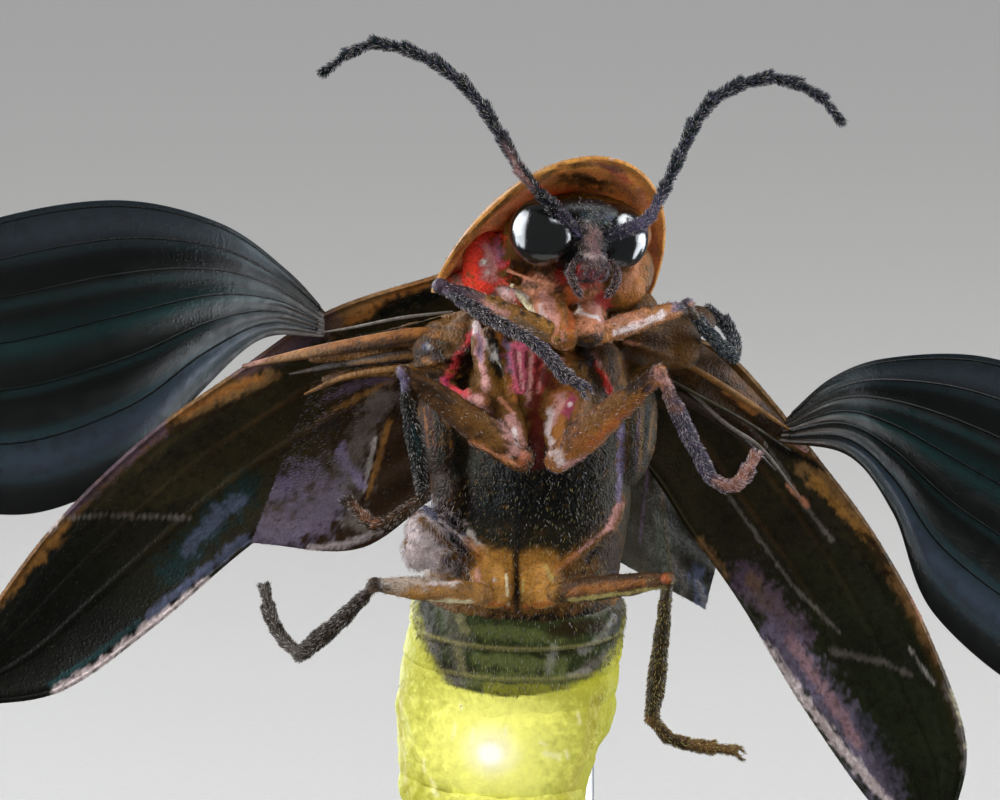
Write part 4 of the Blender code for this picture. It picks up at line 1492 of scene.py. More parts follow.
# %% Legs from hip to claw
LEGS = {
    "fore_left": ((0.98, -2.22, 1.02), (-0.97, -2.20, 1.84), (0.42, -3.25, 1.02),
                  (0.76, -3.25, 0.74), (1.02, -3.15, 0.42), (1.30, -3.05, 0.24)),
    "fore_right": ((1.50, -2.00, 1.04), (3.02, -0.95, 1.52), (3.78, 0.05, 0.68),
                   (3.78, 0.45, 0.95), (3.62, 0.62, 1.25), (3.40, 0.62, 1.42)),
    "mid_left": ((0.34, -1.40, -0.94), (-1.56, -1.75, 0.45), (-1.22, -1.55, -1.56),
                 (-1.63, -1.40, -1.86), (-2.02, -1.30, -2.03), (-2.42, -1.20, -1.65)),
    "mid_right": ((0.94, -1.44, -0.94), (2.58, -1.75, 0.45), (3.40, -1.55, -1.26),
                  (3.64, -1.45, -1.40), (3.90, -1.35, -1.30), (4.10, -1.25, -0.92)),
    "hind_left": ((-0.26, -0.42, -3.12), (-2.02, -1.55, -2.98), (-3.23, -0.60, -4.11),
                  (-3.50, -0.40, -3.86), (-3.70, -0.20, -3.50), (-3.79, -0.05, -3.06)),
    "hind_right": ((0.92, -0.45, -3.11), (2.71, -1.20, -2.90), (2.45, -0.60, -5.13),
                   (2.62, -0.50, -5.40), (3.06, -0.40, -5.56), (3.76, -0.35, -5.65)),
}
THIGH_RADII = {"fore": (0.16, 0.20, 0.19, 0.15, 0.10), "mid": (0.24, 0.29, 0.26, 0.19, 0.12),
               "hind": (0.16, 0.21, 0.20, 0.17, 0.10)}
SHIN_RADII = {"fore": (0.07, 0.09, 0.10, 0.10, 0.08), "mid": (0.08, 0.10, 0.12, 0.12, 0.09),
              "hind": (0.09, 0.10, 0.115, 0.14, 0.11)}
FOOT_SHARES = (1.5, 1.0, 0.9, 0.7, 1.1)
FOOT_RADII = (0.10, 0.10, 0.105, 0.115, 0.08)
RING_SIZE = {"fore": 0.17, "mid": 0.19, "hind": 0.15}
KNEE_SIZE = 0.125
THIGH_FLAT = 0.68
SHIN_FLAT = 0.9
SHIN_BOW = 0.05
FOOT_OVERLAP = 0.08
LEG_DENTS = (0.24, 0.07)
CLAW_LENGTH = 0.17
CLAW_RADII = (0.035, 0.03, 0.01)


def bowed(start, end, bow, count=9):
    """Places on a line with a slight bow towards the floor side."""
    line = [start.lerp(end, f) for f in np.linspace(0, 1, count)]
    sag = Vector((0, 0, -bow * MM))
    return [p + sag * (4 * f * (1 - f)) for p, f in zip(line, np.linspace(0, 1, count))]


def make_claws(name, tip, ahead):
    """Two small curved hooks at the end of the foot."""
    side = ahead.cross(Vector((0, 1, 0))).normalized()
    reach = CLAW_LENGTH * MM
    claws = []
    for way in (-1, 1):
        bend = (ahead + side * way * 0.7).normalized()
        route = [tip, tip + bend * reach * 0.5, tip + bend * reach * 0.8 - UP * 0.04 * MM,
                 tip + ahead * reach + side * way * reach * 0.35 - UP * 0.08 * MM]
        claws.append(limb(f"{name}_claw_{way}", smooth_curve(route, 7), CLAW_RADII, roundness=1))
    return claws


def make_leg(name):
    pair = name.split("_")[0]
    first, knee, ankle = [shown(*p) for p in LEGS[name][:3]]
    thigh = limb("thigh", bowed(first, knee, 0.0), THIGH_RADII[pair], THIGH_FLAT, (0, 1, 0), 6)
    shin = limb("shin", bowed(knee, ankle, SHIN_BOW), SHIN_RADII[pair], SHIN_FLAT, (0, 1, 0), 5)
    ring = ball("ring", first, (RING_SIZE[pair],) * 3, segments=16, rings=10)
    bend = ball("knee", knee, (KNEE_SIZE,) * 3, segments=16, rings=10)
    places = along_route([shown(*p) for p in LEGS[name][2:]], FOOT_SHARES)
    foot = []
    for start, end, radius in zip(places, places[1:], FOOT_RADII):
        foot.append(copy_between(foot_joint, start, end + (end - start) * FOOT_OVERLAP, radius))
    claws = make_claws(name, places[-1], (places[-1] - places[-2]).normalized())
    for part in (thigh, shin):
        soften(part)
        dent(part, *LEG_DENTS)
    return joined("leg_" + name, [thigh, shin, ring, bend] + foot + claws)


foot_joint = joint_pattern("foot_joint", 0.72, 0.06)
# %% [markdown]
# ## The legs' colours
# The thighs are amber, gold or ochre, and the pale bright strokes along their edges are partly pale
# hair and partly painted highlight where their rims catch the light; the blush and pearl at the lower
# end of the middle left one are a painted highlight. Most shins are dark. Of the feet, the middle
# pair's are brown and peach, the right hind one is honey, and the others are as dark as their shins.
# Each leg has a ground colour and its own strokes.

# %% Build and paint the legs
LEG_STROKES = {
    "fore_left": strokes("""
16 gold 0.9: 480,305 545,335
5 blush 0.7: 480,303 505,314
4 ash 0.6: 515,318 545,336
3 amber 0.8: 490,312 520,328
12 plum 0.8: 440,287 470,298
9 night 0.9: 455,297 535,345
12 slate 0.9: 545,355 560,385 583,384
"""),
    "fore_right": strokes("""
22 amber 1.0: 605,335 690,305
4 pearl 0.9: 617,333 663,314
7 peach 0.6: 600,322 640,315
4 ochre 0.7: 620,310 670,298
8 lilac 0.8: 675,303 690,300
10 sea 0.8: 690,310 735,365
"""),
    "mid_left": strokes("""
26 brown 1.0: 515,455 410,378
11 ochre 0.9: 500,440 460,405
4 amber 0.8: 440,425 515,465
2.5 peach 0.6: 470,442 520,466
8 blush 0.75: 505,425 518,450
3 pearl 0.8: 512,428 518,446
6 orange 0.5: 524,452 522,464
6 umber 0.8: 420,385 450,402
13 night 0.9: 400,380 421,490
5 lilac 0.8: 400,372 404,386
3 teal 0.8: 412,425 420,455
10 brown 0.8: 428,497 375,526 350,502
4 peach 0.6: 352,505 380,528
"""),
    "mid_right": strokes("""
26 amber 0.95: 560,460 655,385
9 ochre 0.8: 585,425 632,392
4 blush 0.8: 565,466 600,450 650,400
5 pearl 0.7: 552,420 550,445 560,462
4 brown 0.8: 566,420 568,450
4 orange 0.5: 590,445 625,415
8 black 0.9: 632,386 650,376
6 blush 0.6: 655,372 665,380
12 lilac 0.25: 668,388 713,478
9 peach 0.75: 702,486 740,484 754,458
"""),
    "hind_left": strokes("""
24 gold 0.9: 490,590 400,590
3 cream 0.8: 395,600 470,602
6 ochre 0.8: 440,578 470,588
2.5 pearl 0.7: 430,584 460,582
9 silver 0.6: 385,584 450,575
12 umber 0.7: 375,590 300,655
11 ash 0.8: 298,652 265,590
"""),
    "hind_right": strokes("""
12 gold 0.9: 552,590
22 brown 1.0: 575,590 668,580
5 amber 0.7: 570,592 640,582
3 straw 0.7: 570,601 665,588
5 umber 0.7: 580,580 650,572
14 bronze 0.8: 668,590 652,720
11 honey 0.8: 645,725 735,750
6 orange 0.7: 664,578
"""),
}
LEG_GROUNDS = {"fore_left": "umber", "fore_right": "night", "mid_left": "umber", "mid_right": "slate",
               "hind_left": "umber", "hind_right": "umber"}
legs = {}
for name in LEGS:
    legs[name] = make_leg(name)
    paint(legs[name], LEG_GROUNDS[name], LEG_STROKES[name], sight(legs[name]))
    dress(legs[name], LIMB, "amber_horn", *[f"{name}_{part}" for part in ("femur", "tibia", "tarsus")])
bpy.data.objects.remove(foot_joint, do_unlink=True)
print("legs:", len(legs))

# %% [markdown]
# ## The dark rings of the belly
# Each belly plate overlaps the one behind it like a roof tile, with a thin pale lip at its hind edge.
# One tube with a stepped outline gives all the plates with their overlaps. The plates are set a little
# askew on the trunk's axis, so every point is moved along it by a share of how far right it lies.

# %% Belly rings
BELLY_RINGS = ((-2.20, -2.74), (-2.70, -3.28), (-3.24, -3.86))
BELLY_LIP = 0.03
BELLY_STEP = 0.06
BELLY_SWELL = 0.02
BELLY_DENTS = (0.35, 0.05)
ASKEW = 0.13
ASKEW_FROM = -6.6
ASKEW_FULL = -5.0


def askew_shift(spots):
    """How far each point is moved along the trunk; the tip stays straight."""
    return ASKEW * spots[:, 0] * ease(spots[:, 2], ASKEW_FROM, ASKEW_FULL)


def set_askew(piece):
    shift = askew_shift(in_trunk(piece))
    move_corners(piece, corners(piece) + np.outer(shift * MM, np.array(TIP @ TRUNK.col[2])))


def plain_along(spots):
    """How far along the trunk each point was before it was set askew."""
    return spots[:, 2] - askew_shift(spots)


def swelling(front, hind, shares, height):
    """Rows of the trunk between two places, swollen in the middle."""
    return [trunk_row(front + (hind - front) * f, height * math.sin(f * math.pi)) for f in shares]


def make_belly():
    rows = [trunk_row(BELLY_RINGS[0][0] + 0.2, -TUBE_END)]
    for front, hind in BELLY_RINGS:
        rows += [trunk_row(front, -BELLY_STEP), trunk_row(front - 0.10, -0.01)]
        rows += swelling(front, hind, (0.35, 0.55, 0.75), BELLY_SWELL)
        if (front, hind) != BELLY_RINGS[-1]:
            rows += [trunk_row(hind + 0.05, BELLY_LIP - 0.01), trunk_row(hind + 0.02, BELLY_LIP),
                     trunk_row(hind + 0.01, 0.0), trunk_row(hind + 0.05, -BELLY_STEP)]
    rows += [trunk_row(hind, 0.0), trunk_row(hind - 0.16, -0.04), trunk_row(hind - 0.24, -TUBE_END)]
    belly = trunk_length("belly", rows, 30)
    soften(belly)
    set_askew(belly)
    dent(belly, *BELLY_DENTS)
    return settle(belly, "belly_rings", 60)


belly = make_belly()
print("belly rings:", len(BELLY_RINGS), "points:", len(belly.data.vertices))

# %% [markdown]
# ## The lantern
# The last large plates are the lantern: pale tissue behind clear horn, lumpy because the light organ
# is made of lobes, and lit from within. Its glow is a second painted layer, white at the brightest
# place. Large dents raise the lobes, and small ones give them their grain.

# %% Two glowing rings
LANTERN_RINGS = ((-3.74, -5.40), (-5.36, -6.46))
LANTERN_SWELL = 0.05
LANTERN_LOBES = ((0.60, 0.16), (0.16, 0.03))


def make_lantern():
    rows = [trunk_row(LANTERN_RINGS[0][0] + 0.3, -0.35)]
    for front, hind in LANTERN_RINGS:
        rows += [trunk_row(front, -0.08), trunk_row(front - 0.12, -0.01)]
        rows += swelling(front, hind, np.linspace(0.2, 0.85, 6), LANTERN_SWELL)
        rows += [trunk_row(hind + 0.12, 0.03), trunk_row(hind + 0.06, 0.01), trunk_row(hind + 0.07, -0.05)]
    lantern = trunk_length("lantern_body", rows, 30)
    soften(lantern)
    set_askew(lantern)
    for size, height in LANTERN_LOBES:
        dent(lantern, size, height)
    return settle(lantern, "lantern", 60)


LANTERN_STROKES = strokes("""
6 honey 0.25: 404,660 400,720 406,790
9 honey 0.3: 596,690 588,750 570,790
80 lemon 0.7: 490,752
3.5 cream 0.55: 545,753 558,757
2 cream 0.5: 540,742 546,745
2 cream 0.5: 566,752 568,758
2 cream 0.6: 462,700 461,708
1.6 cream 0.45: 455,724 453,738
1.3 cream 0.4: 473,728 472,742
1.3 cream 0.4: 508,724 505,736
2 cream 0.4: 578,714 580,724
3.5 cream 0.45: 432,780 436,794
1.8 cream 0.45: 424,760 424,772
""")
GROUND_GLOW = 0.19
GLOW_STROKES = strokes("""
100 lemon 0.3: 490,752
52 lemon 0.35: 490,752
28 cream 0.6: 490,752
13 glow 0.8: 490,754
""")
lantern = make_lantern()
lantern_sight = sight(lantern)


def light_up(piece, share):
    """A faint glow of lime all over, and the bright place in the middle of the lantern."""
    kept = get_tints(piece)
    paint(piece, "lime", GLOW_STROKES, lantern_sight, 0.0)
    glow = get_tints(piece) * GROUND_GLOW + (get_tints(piece) - COLOURS["lime"]).clip(0, 1)
    put_tints(piece, glow * share[:, None], GLOW)
    put_tints(piece, kept)


paint(lantern, "citron", LANTERN_STROKES, lantern_sight, CLEAN)
back = dorsal_share(in_trunk(lantern))
put_tints(lantern, blend(get_tints(lantern), "umber", back))
light_up(lantern, 1 - back)
dress(lantern, LANTERN, "lantern", "lantern_front", "lantern_rear")
print("lantern points:", len(lantern.data.vertices))

# %% [markdown]
# ## The tip
# Behind the lantern the belly ends in one plain ring and a rounded tail plate, horny and unlit. It is
# a last length of the trunk's own outline.

# %% The tip behind the lantern
TIP_ROWS = ((-6.42, -0.10), (-6.55, -0.01), (-6.9, 0.02), (-7.15, 0.0), (-7.18, -0.08), (-7.26, -0.02),
            (-7.6, 0.0), (-7.85, -0.02), (-7.97, -0.12))
tip = trunk_length("belly_tip", [trunk_row(*row) for row in TIP_ROWS], 20)
soften(tip, 1)
paint(tip, "ochre", strokes("40 brown 0.5: 480,870 500,870"), sight(tip))
dress(tip, BELLY, "dark_horn", "abdomen_ring_7", "abdomen_tip")
print("tip points:", len(tip.data.vertices))

# %% [markdown]
# ## The belly's colours
# The dark rings are olive and moss with paler lips. At their sides the lantern's light reaches
# forwards, further on each ring towards the lantern, so the rings are painted twice: once as the
# lantern and once as dark plates, and the two are mixed by how far out on the flank a point lies.

# %% Paint the belly
FLANK_ALONG = (-3.62, -3.53, -3.46, -3.18, -2.76, -2.32)
FLANK_LEFT = (-0.40, 0.22, 0.50, 0.67, 0.86, 0.98)
FLANK_RIGHT = (-0.40, 0.30, 0.58, 0.90, 1.03, 1.06)
FLANK_EDGE = 0.10
FLANK_TEAR = 0.03
LIP_WIDTH = 0.035
# The ash, straw and silver strokes at the sides are silvery hair and a painted highlight together.
BELLY_STROKES = strokes("""
9 moss 0.8: 440,614 545,626 604,616
12 moss 0.9: 450,628 545,642 600,634
7 fern 0.7: 480,630 560,640
14 moss 0.8: 455,655 550,668 600,658
8 fern 0.8: 480,660 560,666
12 fern 0.9: 470,680 600,680
7 citron 0.6: 490,690 580,690
8 umber 0.8: 555,632 600,626
12 ash 0.35: 448,604 462,640
5 straw 0.22: 455,608 466,632
10 ash 0.4: 412,612 432,650
9 ash 0.35: 454,640 462,676
5 straw 0.2: 458,648 464,672
9 ash 0.5: 596,608 622,602
4 silver 0.4: 586,612 598,604
5 silver 0.3: 614,618 602,638 582,650
5 silver 0.25: 555,648 548,670
6 ash 0.7: 585,668 604,656
4 silver 0.3: 570,676 588,670
5 ash 0.5: 430,672 460,684
""")


def flank_share(spots):
    """1 on the glowing flanks of the belly, which widen towards the lantern, and 0 elsewhere."""
    along = plain_along(spots)
    across = spots[:, 0] / np.interp(along, TRUNK_ALONG, TRUNK_WIDE)
    near_left, near_right = [np.interp(along, FLANK_ALONG, near) for near in (FLANK_LEFT, FLANK_RIGHT)]
    below = np.where(across < 0, -across - near_left, across - near_right)
    return ease(below + mottle(corners(belly), EDGE_SIZE) * FLANK_TEAR, -FLANK_EDGE, FLANK_EDGE)


paint(belly, "citron", LANTERN_STROKES, lantern_sight, CLEAN)
lit = get_tints(belly)
paint(belly, "olive", BELLY_STROKES, sight(belly), 0.7)
tints = get_tints(belly)
spots = in_trunk(belly)
for front, hind in BELLY_RINGS[:-1]:
    tints = blend(tints, "straw", band(plain_along(spots), hind + BELLY_LIP, LIP_WIDTH) * 0.4)
back = dorsal_share(spots)
flank = (flank_share(spots) * (1 - back))[:, None]
put_tints(belly, blend(tints * (1 - flank) + lit * flank, "umber", back))
light_up(belly, flank[:, 0])
dress(belly, LANTERN, "dark_horn", "abdomen_ring_1", "abdomen_ring_2", "abdomen_ring_3")
print("belly strokes:", len(BELLY_STROKES))

# %% [markdown]
# ## Wing cases
# A wing case is a thin leathery shell between its outer edge and its inner edge, bowed away from the
# camera. The outer margin is a rolled amber band and the inner one a narrow pale bead, and two or
# three weak ribs run down the disc. A fine grid is laid between the two edges, the ribs and rolled
# margin are raised in its points, and a wall is added. The camera sees the underside. Its broad
# colours go by the place between root, tip and edges, and the rest are strokes.

# %% Sheets between two edges
CASES = {
    "left": (((-0.88, 0.45, 2.04), (-2.76, 1.05, 1.42), (-4.19, 1.45, 0.48), (-5.65, 2.00, -0.56),
              (-7.10, 2.60, -1.94), (-8.06, 3.05, -3.19), (-8.72, 3.40, -4.30)),
             ((0.42, 1.45, -0.16), (-1.13, 1.80, -0.73), (-2.74, 2.10, -1.45), (-4.06, 2.40, -2.34),
              (-5.65, 2.80, -3.68), (-7.10, 3.20, -4.68), (-8.52, 3.60, -4.92))),
    "right": (((3.06, 0.95, 1.05), (3.87, 1.30, 0.56), (5.26, 2.00, -1.13), (6.13, 2.60, -2.34),
               (6.94, 3.35, -3.87), (7.50, 4.10, -5.60), (7.20, 4.60, -7.00)),
              ((0.95, 1.45, -0.16), (2.26, 1.80, -0.97), (3.06, 2.20, -2.10), (3.87, 2.75, -3.23),
               (4.84, 3.50, -4.84), (5.97, 4.30, -6.45), (6.80, 4.75, -7.18))),
}
CASE_CAMBER = 0.30
CASE_WALL = 0.07
CASE_RIBS = (0.34, 0.58)
RIB_HEIGHT = 0.035
RIB_WIDTH = 0.018
MARGIN_FOLDS = ((0.05, 0.10, -0.10), (0.36, 0.08, 0.05))
BEAD_FOLD = (0.05, 0.06, -0.05)
SHEET_ROWS = 170
SHEET_COLUMNS = 72


def sheet_place(front, hind, t, f, camber, rise=0.0):
    """A place on a bowed sheet: t runs out from the root, f from the front edge to the hind one."""
    lead = front[t]
    trail = hind[t]
    bow = camber * 4 * f * (1 - f) * min(1.0, (trail - lead).length / 2)
    return shown(*(lead.lerp(trail, f) + Vector((0, bow + rise, 0))))


def case_relief(f, chord):
    """Ribs and the rolled outer margin, as a rise away from the camera in millimetres."""
    rise = sum(RIB_HEIGHT * math.exp(-((f - rib) / RIB_WIDTH) ** 2) for rib in CASE_RIBS)
    for at, width, height in MARGIN_FOLDS:
        rise += height * math.exp(-((f * chord - at) / width) ** 2)
    at, width, height = BEAD_FOLD
    rise += height * math.exp(-(((1 - f) * chord - at) / width) ** 2)
    return -rise


def lay_sheet(name, edges, camber, rows, columns, relief):
    """A grid moved between the two edges, and for each of its points t, f and the width there."""
    front = smooth_curve(edges[0], rows + 1)
    hind = smooth_curve(edges[1], rows + 1)
    let_go()
    bpy.ops.mesh.primitive_grid_add(x_subdivisions=columns, y_subdivisions=rows, size=1)
    sheet = bpy.context.object
    spots = []
    places = []
    for x, y in corners(sheet)[:, :2]:
        t = round((y + 0.5) * rows)
        f = x + 0.5
        chord = (hind[t] - front[t]).length
        places.append(sheet_place(front, hind, t, f, camber, relief(f, chord)))
        spots.append((t / rows, f, chord))
    move_corners(sheet, np.array(places))
    sheet.name = name
    return sheet, np.array(spots)


def case_tints(spots, side):
    t, f, chord = spots.T
    edge = f * chord
    tints = np.tile(COLOURS["olive"], (len(spots), 1))
    tints = blend(tints, "bronze", ease(t, 0.55, 0.15))
    tints = blend(tints, "night", ease(t, 0.45, 0.75) * 0.85)
    for rib in CASE_RIBS:
        tints = blend(tints, "brown", band(f, rib, 0.012) * ease(t, 0.7, 0.2) * 0.5)
    if side == "right":
        tints = blend(tints, "moss", band(t, 0.75, 0.2) * 0.35)
    tints = blend(tints, "ochre", ease(edge, 0.22, 0.10) * ease(t, 0.9, 0.4) * 0.8)
    return tints


# %% [markdown]
# ## The wing cases' strokes
# These are the amber margin, the pale bead of the inner edge, painted highlights along the ribs where
# they catch the light, and a painted violet and blue sheen on the disc.

# %% Paint the wing cases
# The night strokes at 437,293 to 382,312 and at 775,445 to 830,472 are painted shade in the hollows under
# the wing stalks.
CASE_STROKES = {
    "left": strokes("""
11 honey 0.95: 430,274 400,284 365,303 330,326
6 amber 0.7: 425,283 395,296 350,322
8 night 0.95: 437,293 400,303 382,312
10 plum 0.6: 330,322 280,350 240,374
9 honey 0.95: 268,378 230,390 185,416
4 amber 0.7: 262,376 222,392 182,414
3.5 umber 0.95: 270,388 225,408 170,430
3 umber 0.9: 170,422 186,432
8 plum 0.75: 160,428 120,462 66,514
4 peach 0.5: 156,424 112,462 64,508
8 ochre 0.95: 64,522 30,562 -20,620
4 pearl 0.85: 60,518 26,556 -24,612
2 ash 0.7: 65,518 100,515 140,516 190,518
4 bronze 0.9: 250,400 190,430 120,478
22 bronze 0.55: 300,440 200,470 110,500
15 sea 0.8: 248,488 205,530 170,572
8 grey_blue 0.45: 240,500 212,520 190,548
5 grey_blue 0.7: 245,540 200,574 150,616
3.5 teal 0.9: 140,622 95,656 50,685
4.5 pearl 0.95: 252,545 200,587 150,626 100,664 50,696 0,713
"""),
    "right": strokes("""
10 honey 0.9: 752,380 772,410 790,440
11 honey 0.95: 806,466 835,492 868,530
5 gold 0.6: 812,478 840,508 866,536
8 honey 0.9: 878,545 895,572
3 umber 0.9: 864,534 880,550
3 umber 0.9: 884,570 898,580
8 honey 0.95: 897,582 918,612 934,646 943,666
3.5 peach 0.8: 912,598 922,618
7 bronze 0.9: 846,536 862,552 886,560
2.5 ash 0.9: 770,450 799,497 815,518 832,540
3 peach 0.9: 790,486 806,504
1.8 ash 0.8: 729,497 760,540 793,586 819,612 841,633
3 ash 0.75: 830,651 884,662 912,676
1.8 silver 0.75: 910,649 922,667 934,683
15 plum 0.9: 745,575 775,610 800,640
7 honey 0.5: 752,580 790,625
17 lilac 0.75: 775,630 815,685 845,725 885,790
20 ash 0.25: 765,600 815,685 850,740 885,790
6 blush 0.35: 790,640 830,700 860,745
9 plum 0.6: 770,590 790,632
9 slate 0.6: 862,720 900,790
5 honey 0.75: 700,540 725,580 752,625
5 pearl 0.95: 750,622 787,677 830,733 884,798 920,840
4.5 ash 0.9: 945,686 960,720 966,760 962,800
2.5 cream 0.6: 950,690 965,730 969,780
4 night 0.95: 775,445 830,472
"""),
}


def make_case(side):
    case, spots = lay_sheet("case", CASES[side], CASE_CAMBER, SHEET_ROWS, SHEET_COLUMNS, case_relief)
    put_tints(case, case_tints(spots, side))
    finish_with(case, "SOLIDIFY", thickness=CASE_WALL * MM, offset=0.0)
    paint(case, None, CASE_STROKES[side], sight(case))
    return settle(case, "wing_case_" + side, 50)


cases = {}
for side in CASES:
    cases[side] = make_case(side)
    dress(cases[side], CASE, "wing_case", "elytron_" + side)
    print(cases[side].name, "points:", len(cases[side].data.vertices))

# %% [markdown]
# ## Hind wings
# The flying wings are films stiffened by veins. Near the body a folded lobe lies in front of the
# wing case; past its edge the blade spreads out. Both are laid as sheets again, thinner and with
# small pleats, and the veins are thin tubes that follow the sheet from its root. The painted cover
# of each point tells the finish how much of what lies behind shows through.

# %% The wing films
LOBES = {
    "left": (((-0.95, -0.30, 1.35), (-1.85, -0.05, 1.12), (-2.75, 0.22, 0.98)),
             ((-1.10, 0.75, -1.60), (-2.30, 1.10, -2.40), (-4.00, 1.45, -2.30))),
    "right": (((1.85, 0.95, 0.70), (2.80, 2.10, 0.00), (3.90, 3.10, -1.10)),
              ((1.95, 1.05, -2.62), (2.72, 2.35, -3.05), (3.30, 3.00, -3.36))),
}
BLADES = {
    "left": (((-2.83, 0.25, 1.42), (-3.45, 0.80, 2.10), (-4.52, 1.50, 2.85), (-6.13, 2.10, 3.22),
              (-8.06, 2.60, 2.95), (-9.90, 2.90, 2.25), (-11.50, 3.05, 1.15)),
             ((-2.83, 0.22, 1.02), (-3.85, 1.05, 0.98), (-4.85, 2.10, 0.10), (-5.95, 2.95, -1.15),
              (-7.75, 3.40, -1.85), (-9.70, 3.30, -1.30), (-11.55, 3.10, 0.60))),
    "right": (((4.62, 0.72, -0.30), (5.35, 1.00, 0.35), (6.30, 1.55, 0.68), (7.90, 2.10, 0.68),
               (9.70, 2.55, 0.00), (11.30, 2.85, -1.20), (12.60, 3.00, -3.10)),
              ((4.50, 0.72, -0.68), (5.62, 1.30, -0.90), (6.35, 2.00, -1.85), (7.00, 2.60, -3.45),
               (8.75, 2.95, -4.85), (10.60, 3.05, -5.10), (12.45, 3.05, -3.65))),
}
WING_CAMBER = 0.12
FILM_WALL = 0.02
FILM_ROWS = 90
FILM_COLUMNS = 60
FILM_COVER = 0.96
PLEATS = 5
PLEAT_HEIGHT = 0.03
VEINS = (0.02, 0.14, 0.27, 0.42, 0.58, 0.76)
VEIN_RADIUS = 0.030
VEIN_STEPS = 41


def film_relief(f, chord):
    """Small pleats from root to edge."""
    return PLEAT_HEIGHT * math.sin(f * PLEATS * 2 * math.pi) * min(1.0, chord)


def lobe_left_tints(spots):
    """Brown near the root, clear at the outer end, where the wing case shows through."""
    t, f = spots[:, :2].T
    tints = blend(np.tile(COLOURS["bronze"], (len(spots), 1)), "umber", ease(f, 0.1, 0.3))
    return tints, FILM_COVER * (1 - ease(t, 0.45, 0.95) * ease(f, 0.80, 0.60))


def lobe_right_tints(spots):
    """Olive, with a brown patch near the root."""
    tints = np.tile(COLOURS["olive"], (len(spots), 1))
    return blend(tints, "bronze", band(spots[:, 0], 0.25, 0.2) * 0.8), FILM_COVER


LOBE_TINTS = {"left": lobe_left_tints, "right": lobe_right_tints}
# The lilac, ash, slate and grey_blue strokes on the lobes are a painted violet-grey sheen.
LOBE_STROKES = {
    "left": strokes("""
5 ochre 0.9: 400,367 345,376 309,392
3 ochre 0.9: 393,380 333,410 309,428
5 plum 0.7: 388,376 350,386 320,400
13 ash 0.45: 380,400 360,440 352,470
9 slate 0.5: 330,420 300,440
3 ochre 0.95: 389,423 378,460 367,497
2 silver 0.4: 375,440 364,492
6 lilac 0.9: 341,449 346,470
6 lilac 0.9: 352,470 362,484
11 bronze 0.7: 338,480 345,515
14 lilac 0.75: 310,470 262,500 225,512
20 lilac 0.7: 330,500 290,530 250,535
28 ash 0.4: 340,480 290,515 245,530
10 grey_blue 0.7: 255,500 240,520
3 pearl 0.5: 250,545 300,549 345,545 380,530
9 ash 0.6: 350,520 372,530
"""),
    "right": strokes("""
2.5 plum 0.9: 648,400 648,470 640,540
2 ash 0.8: 640,420 636,480
3 honey 0.45: 656,440 664,520 672,575
10 moss 0.6: 660,520 668,580
6 ash 0.5: 676,560 684,590
9 grey_blue 0.95: 697,576 703,606
4 silver 0.5: 698,582 703,600
"""),
}


def blade_tints(spots):
    """Smoky black with a painted green-blue sheen along the pleats and a greyer leading edge."""
    t, f = spots[:, :2].T
    tints = np.tile(COLOURS["night"], (len(spots), 1))
    tints = blend(tints, "sea", band(np.sin(f * 17 + 0.6), 1, 0.5) * 0.9)
    tints = blend(tints, "teal", band(np.sin(f * 43 + 2 * t), 1, 0.25) * 0.4)
    tints = blend(tints, "slate", band(f, 0.06, 0.10) * band(t, 0.55, 0.35) * 0.6)
    tints = blend(tints, "grey_blue", band(f, 0.82, 0.06) * band(t, 0.5, 0.35) * 0.3)
    tints = blend(tints, "umber", ease(t, 0.25, 0.0) * 0.8)
    return tints, FILM_COVER - 0.08 * ease(t, 0.3, 1.0)


def make_film(name, edges, tints_of):
    film, spots = lay_sheet(name, edges, WING_CAMBER, FILM_ROWS, FILM_COLUMNS, film_relief)
    tints, cover = tints_of(spots)
    put_tints(film, tints, cover=cover)
    finish_with(film, "SOLIDIFY", thickness=FILM_WALL * MM, offset=0.0)
    return settle(film, name, 60)


def make_veins(name, edges):
    """Tubes on the film along lines of one share of its width, fanning from close together."""
    front = smooth_curve(edges[0], VEIN_STEPS)
    hind = smooth_curve(edges[1], VEIN_STEPS)
    radii = (VEIN_RADIUS, VEIN_RADIUS * 0.7, VEIN_RADIUS * 0.35)
    tubes = []
    for share in VEINS:
        rise = film_relief(share, 1.0)
        route = [sheet_place(front, hind, t, share, WING_CAMBER, rise) for t in range(1, VEIN_STEPS - 2)]
        tubes.append(limb("vein", route, radii, roundness=1))
    return joined(name, tubes)


lobes = {}
for side in BLADES:
    blade = make_film("wing_blade_" + side, BLADES[side], blade_tints)
    dress(blade, WING, "wing_membrane", f"hind_wing_{side}_blade")
    lobes[side] = make_film("wing_lobe_" + side, LOBES[side], LOBE_TINTS[side])
    paint(lobes[side], None, LOBE_STROKES[side], sight(lobes[side]))
    dress(lobes[side], LOBE, "wing_membrane", f"hind_wing_{side}_lobe")
    veins = make_veins("wing_veins_" + side, BLADES[side])
    paint(veins, "night")
    dress(veins, VEIN, "wing_membrane")
print("vein thickness:", VEIN_RADIUS * 2, "mm at the root")

# %% [markdown]
# ## The stalks of the wings
# The first veins of each flying wing are stout amber rods that lie side by side from the shoulder to
# the bend of the wing, with dark gaps between them.

